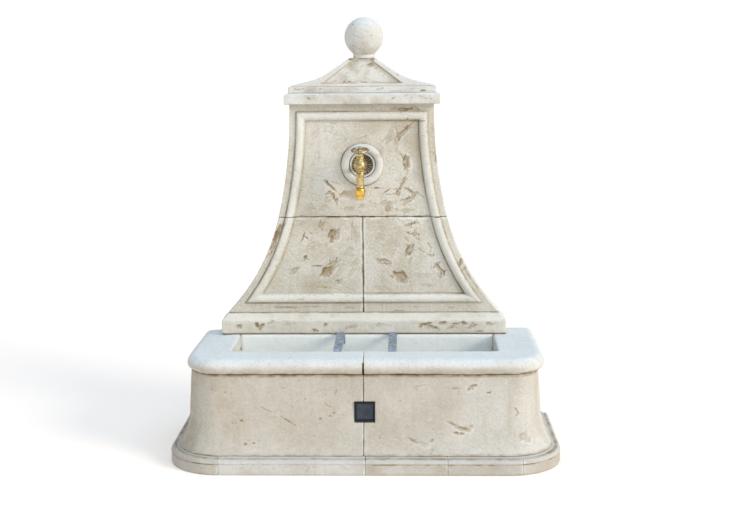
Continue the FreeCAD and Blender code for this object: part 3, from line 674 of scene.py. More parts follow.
def path_frame(stops, inner_front, inner_side):
    """For stops along the right half: the foot's points, the way inwards, and the inner face's points."""
    feet, inwards, inners = [], [], []
    ease = 14.0                                # radius of the trough's inner corners
    for stop in stops:
        if stop <= STRAIGHT:
            feet.append((stop, -WALL_Y))
            inwards.append((0, 1))
            inners.append((stop * (inner_side - ease) / STRAIGHT, inner_front))
        elif stop <= STRAIGHT + CORNER:
            angle = (stop - STRAIGHT) / ROUND
            out = np.array([math.sin(angle), -math.cos(angle)])
            feet.append((TURN_X + ROUND * out[0], TURN_Y + ROUND * out[1]))
            inwards.append(-out)
            inners.append((inner_side - ease + ease * out[0], inner_front + ease + ease * out[1]))
        else:
            share = (stop - STRAIGHT - CORNER) / (PATH_END - STRAIGHT - CORNER)
            feet.append((HALF, TURN_Y + share * (WALL_Y - TURN_Y)))
            inwards.append((-1, 0))
            inners.append((inner_side, inner_front + ease + share * (WALL_Y - inner_front - ease)))
    return np.array(feet), np.array(inwards), np.array(inners)


print("path from the middle to the wall:", round(PATH_END), "mm")


# %% [markdown]
# ### Carrying a section along the path
# A section is a closed line of points, and repeated at every stop of the path it makes the rings of a
# loft. A curve with a bevel could do this too, but it can't stretch the section towards the inner face.

# %% Carrying a section along the path
def swept(section, stops, side, inner=None):
    """Rings of points in metres for a section (inset, share, height) along stops; side -1 mirrors it."""
    inner_front, inner_side = inner or TROUGH
    feet, inwards, inners = path_frame(stops, inner_front, inner_side)
    inset, share, height = section.T
    outer = feet[:, None, :] + inwards[:, None, :] * inset[None, :, None]
    plan = outer * (1 - share[None, :, None]) + inners[:, None, :] * share[None, :, None]
    rings = np.concatenate([plan, np.broadcast_to(height[None, :, None], plan.shape[:2] + (1,))], axis=2)
    rings[:, :, 0] *= side
    return rings * MM


def near_height(points, height, reach, seed, size=0.02):
    """Dirt that gathers within reach of a level, in millimetres, thicker in patches; under the rim it is
    painted shade as well.
    """
    close = smooth(abs(points[:, 2] - height * MM), reach * MM, 0.25 * reach * MM)
    return close * (0.45 + 0.55 * smooth(noise(points, size, seed), -0.4, 0.5))


print("one point carried along two stops:", swept(np.zeros((1, 3)), np.array([0.0, 1.0]), 1).shape)


# %% [markdown]
# ### Wearing a loft
# Rain and hands only take stone away, so each point moves inwards: by slow waves, by pits, by the round
# of a worn arris at a joint, and by the marks. A boolean cut for each mark would be far slower and would
# leave poor faces. Behind the worn arris the stones still touch, as they do on mortar.

# %% Wearing a loft
def stone_from_rings(name, rings, nodes, slot, marks=(), wave=0.9, pits=0.5, seed=1,
                     joint_ends=(True, True), dirt_and_shade=None, pocket=None, arris_mm=4.5):
    """Wears a loft, carves its marks and places it. Wear only takes stone away."""
    count, around = rings.shape[:2]
    points, normals = rings.reshape(-1, 3), outward(rings)
    wear = wave * MM * (0.5 + 0.5 * rough(points, 0.11, 3, seed))
    wear += pits * MM * np.clip(rough(points, 0.018, 3, seed + 20) - 0.15, 0, 1) * 1.6
    arris = arris_mm * MM * (1 + 0.35 * noise(points, 0.03, seed + 9))
    spaces = np.linalg.norm(np.diff(rings.mean(axis=1), axis=0), axis=1)
    run = np.concatenate([[0], np.cumsum(spaces)])
    pale = np.zeros(len(points))
    for wanted, distance in zip(joint_ends, (run, run[-1] - run)):
        if wanted:
            away = np.repeat(distance, around)
            short = np.clip(1 - away / arris, 0, 1)
            wear += arris * (1 - np.sqrt(1 - short ** 2)) * 0.75
            patchy = smooth(noise(points, 0.02, seed), -0.5, 0.5)
            pale = np.maximum(pale, 0.5 * smooth(away, 9 * MM, 3 * MM) * patchy)
    facing = normals[:, 1] < -0.5
    depth, stain, edge = carve(points, facing, marks, seed)
    if dirt_and_shade is not None:
        stain = np.maximum(stain, dirt_and_shade(points, normals))
    moved = points - normals * (wear + depth)[:, None]
    if joint_ends[0]:
        deep_in = np.arange(around)
        deep_in = deep_in[points[deep_in, 1] > points[deep_in, 1].min() + 0.09]
        moved[deep_in] = points[deep_in]
        if abs(rings[0, :, 0]).max() < 2 * MM:
            moved[deep_in, 0] = 0.0
    if pocket is not None:
        moved = pocket(points, moved)
    mesh = make_mesh(name, moved, capped_faces(count, around), stain=stain, pale=np.maximum(edge, pale))
    set_outward(mesh)
    return place(name, mesh, nodes, slot)


print("loft helper ready")


# %% [markdown]
# ## Plinth
# Five moulded stones make the plinth: a plain face, a quarter round and a thin fillet. The joints are
# where the frame has them. The moulding is lofted, so that the quarter round and the fillet keep their
# dark line.

# %% Section and dirt of the plinth
PLINTH_FACE, PLINTH_MOULD, PLINTH_STEP = 40.0, 16.0, 22.0
PLINTH_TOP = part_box("plinth_front_left")[1].z / MM


def plinth_section():
    quarter = [(i, 0, z) for i, z in arc_points((0, PLINTH_FACE), (PLINTH_MOULD, PLINTH_FACE + PLINTH_MOULD),
                                                PLINTH_MOULD, -1, 2.0)]
    face = [(1.2, 0, z) for z in evenly(0, PLINTH_FACE - 2.5, 3.0)] + [(4.2, 0, PLINTH_FACE - 1)]
    ledge = [(i, 0, PLINTH_FACE + PLINTH_MOULD - 1) for i in evenly(PLINTH_MOULD + 1, PLINTH_STEP, 2.0)]
    fillet = [(PLINTH_STEP, 0, z) for z in evenly(PLINTH_FACE + PLINTH_MOULD, PLINTH_TOP, 2.0)]
    top = [(PLINTH_STEP, s, PLINTH_TOP) for s in (0.02, 0.05, 0.1, 0.3, 0.65, 1.0)]
    inner = [(PLINTH_STEP, 1, z) for z in evenly(PLINTH_TOP, 0, 30.0)]
    under = [(0, s, 0) for s in (0.65, 0.3, 0.1, 0.05, 0.02)]
    return worn(joined_runs(face, quarter, ledge, fillet, top, inner, under), 1)


def plinth_dirt(points, normals):
    plain = (points[:, 0] < 0.004) & (points[:, 0] > -0.504)    # the left front stone is cleaner
    low = near_height(points, PLINTH_FACE + PLINTH_MOULD, 3, 31) * np.where(plain, 0.45, 0.68)
    groove = near_height(points, PLINTH_FACE - 1, 3.0, 32) * np.where(plain, 0.25, 1.0)
    corner = (points[:, 0] < -0.506) * (0.26 + 0.1 * noise(points, 0.05, 33))
    right = (points[:, 0] > 0.008) * (0.20 + 0.16 * noise(points, 0.06, 34))
    right *= smooth(points[:, 2], PLINTH_FACE * MM, (PLINTH_FACE - 4) * MM)
    mould = smooth(points[:, 2], (PLINTH_FACE - 2) * MM, (PLINTH_FACE + 4) * MM) * np.where(plain, 0.04, 0.06)
    groove = np.maximum.reduce([groove, corner, right, mould])
    foot = smooth(points[:, 2], 14 * MM, 2 * MM) * np.where(plain, 0.18, 0.4)
    return np.maximum(np.maximum(low, groove), foot)


print("plinth section points:", len(plinth_section()), "top at", round(PLINTH_TOP), "mm")


# %% [markdown]
# ### The five plinth stones
# Each stone is a stretch of the same path, given by where it starts and ends. The stones on both sides of
# the middle joint have the widest worn arrises, so that joint shows most.

# %% Plinth stones
joint_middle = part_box("plinth_front_middle")[0].x / MM
joint_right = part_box("plinth_front_middle")[1].x / MM
PLINTH_TURN = ROUND * math.radians(14.0)       # the right front stone runs a little round the corner
PLINTH_RUNS = [
    ("plinth_front_middle", 1, joint_middle, joint_right),
    ("plinth_front_right", 1, joint_right, STRAIGHT + PLINTH_TURN),
    ("plinth_corner_right", 1, STRAIGHT + PLINTH_TURN, PATH_END),
    ("plinth_front_left", -1, -joint_middle, STRAIGHT),
    ("plinth_corner_left", -1, STRAIGHT, PATH_END),
]
PLINTH_MARKS = [
    (548, 63, 20, 8, 0, 2.8, 0.65), (572, 60, 24, 10, 6, 3.2, 0.6), (600, 62, 16, 7, -8, 2.6, 0.5),
    (512, 65, 16, 6, 0, 2, 0.45), (-190, 22, 34, 12, 40, 1.4, 0.3), (-172, 30, 18, 7, -20, 1.6, 0.4),
    (-420, 24, 24, 6, 10, 1.2, 0.25), (130, 20, 30, 7, -6, 1.4, 0.3), (300, 26, 26, 8, 10, 1.4, 0.3),
    (64, 57, 60, 4, 0, 1.6, 0.6), (230, 58, 90, 4, 0, 1.4, 0.5), (-560, 22, 30, 9, 5, 1.6, 0.4),
]
for number, (name, side, first, last) in enumerate(PLINTH_RUNS):
    at_wall = last == PATH_END
    stops = stations(first + 0.3 * JOINT_GAP, last - (0 if at_wall else 0.3 * JOINT_GAP), 4.0)
    inner_plinth = [TURN_Y, TROUGH[1]]
    rings = swept(plinth_section(), stops, side, inner_plinth)
    arris_here = 4.5 if first in (-joint_middle, joint_middle) else 2.2
    stone_from_rings("stone_" + name, rings, [name], "plinth_stone", PLINTH_MARKS, wave=0.9, pits=0.9,
                     seed=40 + number, joint_ends=(True, not at_wall), dirt_and_shade=plinth_dirt, arris_mm=arris_here)
print("plinth stones:", len(PLINTH_RUNS))


# %% [markdown]
# ## Basin and rim
# Two mirrored halves meet in the middle of the front. The wall flares out at the foot and carries a thick
# rim with a round nose. Faint scratches and nicks on the front are listed one by one. A square pocket in
# the middle takes the overflow plate.

# %% Sections of basin and rim
WALL_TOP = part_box("rim_left")[0].z / MM
RIM_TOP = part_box("basin_back_wall")[1].z / MM
FOOT_INSET, WAIST_INSET, NECK_INSET, WAIST_Z, FLARE = 28.0, 72.0, 82.0, 190.0, 220.0
RIM_NOSE, RIM_UNDER = 62.0, 22.0
RIM_OVER = RIM_TOP - WALL_TOP - RIM_UNDER
INNER_ARRIS = 0.075                            # share of the rim's width that its inner edge is rounded over


def basin_section():
    flare_line = arc_points((FOOT_INSET, PLINTH_TOP), (WAIST_INSET, WAIST_Z), FLARE, 1, 3.2)
    flare = [(i, 0, z) for i, z in flare_line]
    heights = evenly(WAIST_Z, WALL_TOP, 3.2)
    lean = (NECK_INSET - WAIST_INSET) / (WALL_TOP - WAIST_Z)
    neck = [(WAIST_INSET + lean * (z - WAIST_Z), 0, z) for z in heights]
    top = [(NECK_INSET, s, WALL_TOP) for s in (0.03, 0.1, 0.4, 0.8, 0.96, 1.0)]
    inner = [(NECK_INSET, 1, z) for z in evenly(WALL_TOP, PLINTH_TOP, 9.0)]
    under = [(FOOT_INSET, s, PLINTH_TOP) for s in (0.8, 0.4, 0.1, 0.03)]
    return worn(joined_runs(flare, neck, top, inner, under), 1)


def rim_section():
    nose = arc_points((RIM_NOSE + RIM_UNDER, WALL_TOP), (RIM_NOSE, WALL_TOP + RIM_UNDER), RIM_UNDER, -1, 3.0)
    brow = arc_points((RIM_NOSE, WALL_TOP + RIM_UNDER), (RIM_NOSE + RIM_OVER, RIM_TOP), RIM_OVER, -1, 3.0)
    back = RIM_NOSE + RIM_OVER
    top = [(back, s, RIM_TOP) for s in evenly(0, 1 - INNER_ARRIS, 0.03)]
    turn_in = [(back, 1 - INNER_ARRIS * (1 - math.sin(a)), RIM_TOP - 8 * (1 - math.cos(a)))
               for a in evenly(0, math.pi / 2, 0.3)]
    inner = [(back, 1, z) for z in evenly(RIM_TOP - 8, WALL_TOP, 5.0)]
    under = [(back, s, WALL_TOP) for s in (0.7, 0.3, 0.05)]
    outside = [(i, 0, z) for i, z in nose + brow]
    return worn(joined_runs(outside, top, turn_in, inner, under), 1)


print("basin section points:", len(basin_section()), "rim:", len(rim_section()))


# %% [markdown]
# ### Marks on the basin
# The basin's front was trowelled smooth, so its marks are fewer and shallower than the backboard's: long
# thin scratches, a few nicks and a cluster of cuts at the lower right. Two sowings of small marks fill in.

# %% Marks on the basin
BASIN_MARKS = [
    (-483, 275, 19, 8, 15, 3.3, 0.62), (-462, 271, 12, 6, 60, 2.4, 0.62), (-429, 174, 28, 9, 5, 3.6, 0.87),
    (-452, 166, 34, 7, 8, 1.8, 0.67), (-340, 214, 94, 5.4, -27, 1.95, 0.74),
    (-262, 172, 84, 5.6, -33, 2.4, 0.87), (-412, 95, 16, 9, 20, 2.7, 0.82), (-385, 98, 13, 7, 0, 2.4, 0.82),
    (-530, 285, 16, 10, 80, 2.1, 0.62), (-120, 225, 64, 5, -32, 1.5, 0.67),
    (-100, 202, 20, 12, 40, 2.25, 0.77), (-118, 190, 13, 8, 0, 2.25, 0.82),
    (-150, 270, 74, 28, 12, 0.9, 0.28), (-152, 180, 18, 8, 10, 1.8, 0.72),
    (-95, 278, 44, 12, 70, 1.05, 0.57), (200, 297, 72, 8.5, 8, 2.85, 0.62),
    (180, 285, 32, 7, -12, 1.65, 0.57), (318, 288, 34, 7, 2, 2.7, 0.72), (330, 272, 34, 8, 88, 1.95, 0.62),
    (378, 293, 28, 20, 30, 4.5, 0.56), (392, 300, 14, 16, 80, 3.3, 0.71), (366, 285, 18, 14, 0, 3.9, 0.57),
    (436, 274, 28, 7, 12, 3, 0.77), (529, 212, 30, 8, -52, 3.3, 0.82), (536, 196, 20, 8, 40, 2.4, 0.72),
    (310, 162, 64, 10, -26, 2.1, 0.72), (345, 146, 74, 14, -12, 2.7, 0.74),
    (330, 130, 44, 12, -6, 2.4, 0.82), (372, 150, 38, 16, 25, 1.8, 0.41), (170, 108, 50, 10, -30, 2.7, 0.72),
    (205, 96, 64, 18, -10, 1.8, 0.36), (240, 108, 26, 10, 40, 2.1, 0.72), (128, 245, 14, 5, 86, 2.4, 0.72),
    (150, 130, 34, 52, 0, 1.05, 0.31), (560, 120, 44, 32, 60, 2.4, 0.41), (575, 104, 26, 18, 30, 2.4, 0.46),
    (60, 120, 24, 8, 60, 1.5, 0.62), (250, 205, 94, 42, 30, 0.75, 0.2), (-300, 120, 124, 52, 10, 0.75, 0.22),
]
BASIN_AREA = (-620, 620, 75, 330)
BASIN_MARKS += scatter(300, BASIN_AREA, (6, 22), (3.5, 8), 2.0, 0.66, 71)
BASIN_MARKS += scatter(160, BASIN_AREA, (20, 60), (3.4, 5), 1.6, 0.36, 72)
print("marks on the basin:", len(BASIN_MARKS))


# %% [markdown]
# ### The two basin halves
# The overflow sits in a square pocket in the middle of the front. A boolean would cut it, but the stops
# of the path already lie along its sides, so pushing the points inside back gives clean, straight sides.

# %% Basin halves
plate_low, plate_high = (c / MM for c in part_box("overflow_frame"))
plate_x, plate_half = (plate_low.x + plate_high.x) / 2, (plate_high.x - plate_low.x) / 2
plate_z = (plate_low.z + plate_high.z) / 2
PLATE_BED_Y = plate_high.y - 6                 # how far back the pocket goes


def overflow_pocket(points, moved):
    """Sinks the square behind the overflow plate, with straight sides."""
    inside = abs(points[:, 0] / MM - plate_x) < plate_half - 0.3
    inside &= abs(points[:, 2] / MM - plate_z) < plate_half - 0.3
    sunk = moved.copy()
    sunk[inside & (points[:, 1] < -0.15), 1] = PLATE_BED_Y * MM
    return sunk


def basin_dirt_and_shade(points, normals):
    """Brown under the rim, dirt with painted shadow; brown along the foot; long grey runs down the wall; and a
    broad painted shade, heavier to the left and fading out to the right.
    """
    outside = points[:, 1] < TROUGH[0] * MM + 0.02
    outside |= abs(points[:, 0]) > (TROUGH[1] + 20) * MM
    # Dirt with painted shadow under the rim's nose.
    under_rim_dirt_and_shade = near_height(points, WALL_TOP, 16, 61) * 0.75
    foot = near_height(points, PLINTH_TOP, 12, 62) * 0.6
    joint = smooth(abs(points[:, 0]), 7 * MM, 1 * MM) * smooth(noise(points, 0.03, 63), -0.3, 0.4) * 0.5
    stretched = points * np.array([1, 1, 0.12])
    runs = smooth(noise(stretched, 0.05, 64), 0.35, 0.9) * 0.22
    # Painted shade: the wall is darker towards its left end and lighter towards the right, where the light
    # comes from.
    left_side_painted_shade = smooth(points[:, 0], -0.50, -0.63) * 0.45
    broad = (0.19 + 0.10 * rough(points, 0.12, 3, 65)) * smooth(points[:, 0], 0.46, 0.24)
    broad += 0.10 * smooth(points[:, 0], -0.30, -0.48)
    return outside * np.maximum.reduce([under_rim_dirt_and_shade, foot, joint, runs, left_side_painted_shade, broad])


for side, word in ((-1, "left"), (1, "right")):
    edges = [side * plate_x - plate_half, side * plate_x + plate_half]
    extra = [e + d for e in edges for d in (-0.9, -0.2, 0.2, 0.9)]
    stops = stations(JOINT_GAP, PATH_END, 3.3, [e for e in extra if e > JOINT_GAP])
    rings = swept(basin_section(), stops, side)
    wall = stone_from_rings("stone_basin_" + word, rings, ["basin_" + word], "cast_stone", BASIN_MARKS,
                            wave=1.8, pits=0.8, seed=50 + side, joint_ends=(True, False), dirt_and_shade=basin_dirt_and_shade,
                            pocket=overflow_pocket)
    wall.data.materials[0] = basin_stone_darkened
print("basin halves are placed; the overflow's middle is at", round(plate_x), "and", round(plate_z), "mm")


# %% [markdown]
# ### The rim
# The rim overhangs the basin with a round nose. Its top is paler and bluer, partly from rain and partly as
# painted sky light, and it is brown under the nose, dirt together with painted shadow.
# The joint in its front has opened to a wedge, and the left end has sunk a little at the back; both are
# shifts of points after the wear, so the section itself stays clean.

# %% Rims


def rim_dirt_and_shade(points, normals):
    """Brown along the nose's underside, dirt with painted shadow, and in the joint."""
    # Painted shade with dirt on the faces that look down.
    under = smooth(normals[:, 2], -0.25, -0.9) * smooth(noise(points, 0.03, 66), -0.7, 0.3) * 0.75
    joint = smooth(abs(points[:, 0]), 6 * MM, 2.5 * MM) * 0.95 * (points[:, 2] < 0.385)
    nose = smooth(points[:, 2], 0.380, 0.356) * (0.36 + 0.1 * noise(points, 0.05, 67))
    nose *= smooth(points[:, 0], 0.62, 0.5)
    outside = points[:, 1] < TROUGH[0] * MM - 0.02
    outside |= abs(points[:, 0]) > (TROUGH[1] + 20) * MM
    return outside * np.maximum.reduce([under, joint, nose])


def rim_shape(points, moved):
    """Opens the joint into a wedge below the nose, and lets the left end sink a little at the back."""
    shaped = moved.copy()
    side = 1 if moved[:, 0].mean() > 0 else -1
    front = points[:, 1] < -0.15
    least = (JOINT_GAP + 2.6 * smooth(points[:, 2], 0.384, 0.345) + 0.8 * noise(points, 0.012, 68)) * MM
    shaped[:, 0] = np.where(front & (abs(moved[:, 0]) < least), side * least, moved[:, 0])
    left_end = smooth(points[:, 0], -0.48, -0.63)
    shaped[:, 0] *= 1 - 0.010 * left_end
    shaped[:, 2] -= 0.008 * left_end * smooth(points[:, 1], -0.05, 0.24) * smooth(points[:, 2], 0.35, 0.39)
    return shaped


RIM_MARKS = [
    (-120, 352, 60, 5, 2, 1, 0.45), (300, 356, 40, 6, 0, 1, 0.2), (-330, 350, 90, 5, 0, 0.8, 0.35),
]
for side, word in ((-1, "left"), (1, "right")):
    rings = swept(rim_section(), stations(JOINT_GAP, PATH_END, 4.0), side)
    stone_from_rings("stone_rim_" + word, rings, ["rim_" + word], "weathered_stone", RIM_MARKS, wave=1.8,
                     pits=1.0, seed=56 + side, joint_ends=(True, False), dirt_and_shade=rim_dirt_and_shade, pocket=rim_shape)
print("rims are placed, top at", round(RIM_TOP), "mm")


# %% [markdown]
# ## Backboard
# The backboard is three stones with curved sides, a border, a half-round moulding and a sunk field. It is
# a relief, so its front is a height field: for every point the distance to the nearest edge says where
# on the border, moulding or field it lies, and the mitres come out by themselves. The marks on the field
# are the fountain's own face, so they are listed one by one.

# %% The board's outline and relief
BOARD_X = (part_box("upper_panel")[0].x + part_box("upper_panel")[1].x) / 2 / MM
BOARD_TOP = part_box("upper_panel")[1].z / MM
BOARD_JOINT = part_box("upper_panel")[0].z / MM
BOARD_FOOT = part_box("lower_panel_left")[0].z / MM
MOULD_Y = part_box("upper_panel")[0].y / MM      # the moulding's crown
BORDER_Y, FIELD_Y = MOULD_Y + 10, MOULD_Y + 18
ROSE_X, ROSE_Z = [(a + b) / 2 / MM for a, b in list(zip(*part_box("escutcheon_ring")))[::2]]
TOP_HALF, CURVE_TOP, UPPER_SWEEP, LOWER_SWEEP = 267.0, 1230.0, 1650.0, 821.0
MOULD_INSET, MOULD_WIDE, MOULD_TOP, MOULD_FOOT = 25.0, 34.0, 1227.0, 509.0


def sweep_of(height):
    """Centre and radius of the side's arc at a height: the upper stone's, or the tighter lower one's."""
    centre_x, centre_z, radius = TOP_HALF + UPPER_SWEEP, CURVE_TOP, UPPER_SWEEP
    if height < BOARD_JOINT:
        step = UPPER_SWEEP - LOWER_SWEEP
        sine = (CURVE_TOP - BOARD_JOINT) / UPPER_SWEEP
        centre_x, centre_z = centre_x - step * math.sqrt(1 - sine ** 2), centre_z - step * sine
        radius = LOWER_SWEEP
    return centre_x, centre_z, radius


def half_width(height):
    """Half width of the backboard at a height."""
    centre_x, centre_z, radius = sweep_of(height)
    return centre_x - math.sqrt(radius ** 2 - max(centre_z - height, 0) ** 2)


def inset_from_side(x, height):
    """Distance in from the nearer curved side, square to it."""
    centre_x, centre_z, radius = sweep_of(height)
    return np.hypot(centre_x - abs(x - BOARD_X), max(centre_z - height, 0)) - radius


print("half width at the joint:", round(half_width(BOARD_JOINT), 1), "mm")


# %% [markdown]
# ### The relief
# The relief is a function of the distance in from the edge: border, quirk, half-round moulding, quirk and
# field, in that order. Carving it with booleans would need mitres by hand; here they fall where the
# nearest side changes to the nearest end.

# %% The relief
def relief(x, height):
    """How far back the front lies (y in millimetres) at x and a height."""
    from_ends = min(MOULD_TOP - height, height - MOULD_FOOT) + MOULD_INSET
    inset = np.minimum(inset_from_side(x, height), from_ends)
    across = np.clip((inset - MOULD_INSET - MOULD_WIDE / 2) / (MOULD_WIDE / 2), -1, 1)
    ground = BORDER_Y + (FIELD_Y - BORDER_Y) * (0.5 + 0.5 * across)
    rise = (BORDER_Y + FIELD_Y) / 2 - MOULD_Y
    roll = rise * np.sqrt(1 - across ** 2)
    edges = (MOULD_INSET, MOULD_INSET + MOULD_WIDE)
    quirk = sum(1.6 * np.exp(-((inset - edge) / 2.2) ** 2) for edge in edges)
    return ground - roll + quirk


print("the moulding stands", round(relief(np.array([BOARD_X]), 900.0)[0] - MOULD_Y, 1), "mm over the field")


# %% [markdown]
# ### Marks of the upper stone
# Each row is one cut: x and z of its middle, its length, width, angle, depth and share of ochre. The
# bundle at the right of the tap, the slanting pair at its left and the thin level lines are what one
# remembers of this stone.

# %% Marks of the upper stone
UPPER_MARKS = [
    (156, 1029, 88, 27, 88, 3, 0.85), (140, 1145, 92, 19, 42, 3.2, 0.95), (124, 1128, 60, 18, 70, 2.4, 0.7),
    (98, 1137, 74, 24, 78, 2.2, 0.45), (112, 1160, 40, 12, -20, 1.8, 0.4),
    (120, 1095, 60, 14, 80, 1.4, 0.35), (128, 1069, 26, 9, -60, 1.8, 0.55),
    (75, 1122, 40, 10, 50, 1.4, 0.35), (-134, 952, 78, 11, -40, 3, 0.85), (-112, 962, 50, 7, -15, 2, 0.55),
    (-121, 907, 50, 17, -60, 3.2, 0.95), (-133, 925, 24, 14, 30, 2.4, 0.75), (-69, 919, 66, 26, 18, 1, 0.55),
    (-140, 900, 40, 26, 30, 0.8, 0.4), (45, 942, 84, 4.4, 0, 2.6, 0.95), (80, 930, 46, 6, 36, 2.6, 0.8),
    (92, 918, 44, 5, 2, 2.4, 0.8), (112, 938, 26, 5, 20, 2, 0.7), (139, 955, 60, 11, 64, 3, 0.8),
    (124, 925, 34, 14, 80, 2.4, 0.8), (150, 970, 26, 7, 50, 2.2, 0.7), (165, 930, 50, 12, -32, 3.4, 0.85),
    (185, 922, 44, 10, -20, 3, 0.6), (205, 912, 34, 7, -28, 2, 0.5), (164, 897, 58, 20, 22, 3, 0.7),
    (180, 905, 26, 14, 60, 2.6, 0.5), (150, 885, 26, 12, 40, 2.2, 0.55), (91, 871, 62, 26, 70, 1.1, 0.55),
    (70, 885, 40, 20, 10, 0.9, 0.4), (-13, 875, 26, 12, 0, 1.6, 0.5), (31, 884, 34, 7, -20, 1.6, 0.45),
    (18, 893, 20, 8, 40, 1.2, 0.4), (-13, 1128, 56, 8, 18, 1.6, 0.42), (-30, 1122, 22, 10, 0, 1.4, 0.4),
    (5, 1133, 20, 10, 60, 1.6, 0.35), (-121, 1145, 54, 8, -25, 1, 0.2), (-100, 1138, 46, 6, -30, 1, 0.2),
    (-180, 1140, 60, 26, 60, 1, 0.16), (-118, 1004, 44, 7, -25, 1.2, 0.22), (-128, 996, 40, 5, -30, 1, 0.2),
    (-170, 1060, 70, 30, 80, 0.8, 0.14), (90, 1010, 110, 3, 2, 0.8, 0.25), (100, 995, 90, 3, 0, 0.8, 0.25),
    (200, 1010, 24, 12, 20, 1.6, 0.3), (60, 1080, 60, 30, 70, 0.8, 0.2), (-60, 860, 60, 26, 10, 0.8, 0.3),
    (-160, 865, 50, 20, 10, 0.8, 0.25), (150, 855, 60, 16, 0, 1.2, 0.4), (-200, 945, 20, 10, 30, 1, 0.3),
    (195, 1190, 70, 6, 0, 1.6, 0.95), (175, 1188, 40, 10, -10, 1.2, 0.75), (144, 1233, 84, 11, 0, 1.8, 1),
    (105, 1236, 40, 7, 4, 1.2, 0.7), (190, 1232, 40, 8, -6, 1.2, 0.7), (60, 1234, 30, 4, 0, 1, 0.6),
    (268, 1053, 44, 20, 85, 1.2, 0.65), (262, 1090, 40, 12, 85, 0.8, 0.4), (-275, 1130, 12, 6, 85, 1, 0.3),
    (225, 1165, 12, 6, 20, 1.8, 0.3), (228, 1150, 8, 6, 50, 1.6, 0.3), (248, 905, 10, 7, 40, 1.6, 0.5),
    (-150, 838, 40, 4, 0, 2.4, 0.7), (-40, 838, 56, 4, 0, 2.6, 0.8), (100, 838, 60, 4, 1, 2.4, 0.7),
    (230, 838, 40, 4, 0, 2.4, 0.7), (-236, 838, 30, 5, 0, 2.6, 0.7),
]
print("marks by hand on the upper stone:", len(UPPER_MARKS))


# %% [markdown]
# ### Marks of the two lower stones
# These are broader bites, deepest at their upper side, in two clusters left and right of the seam. Thin
# level and upright rows at the end of the list are mortar that has gone brown in the joints.

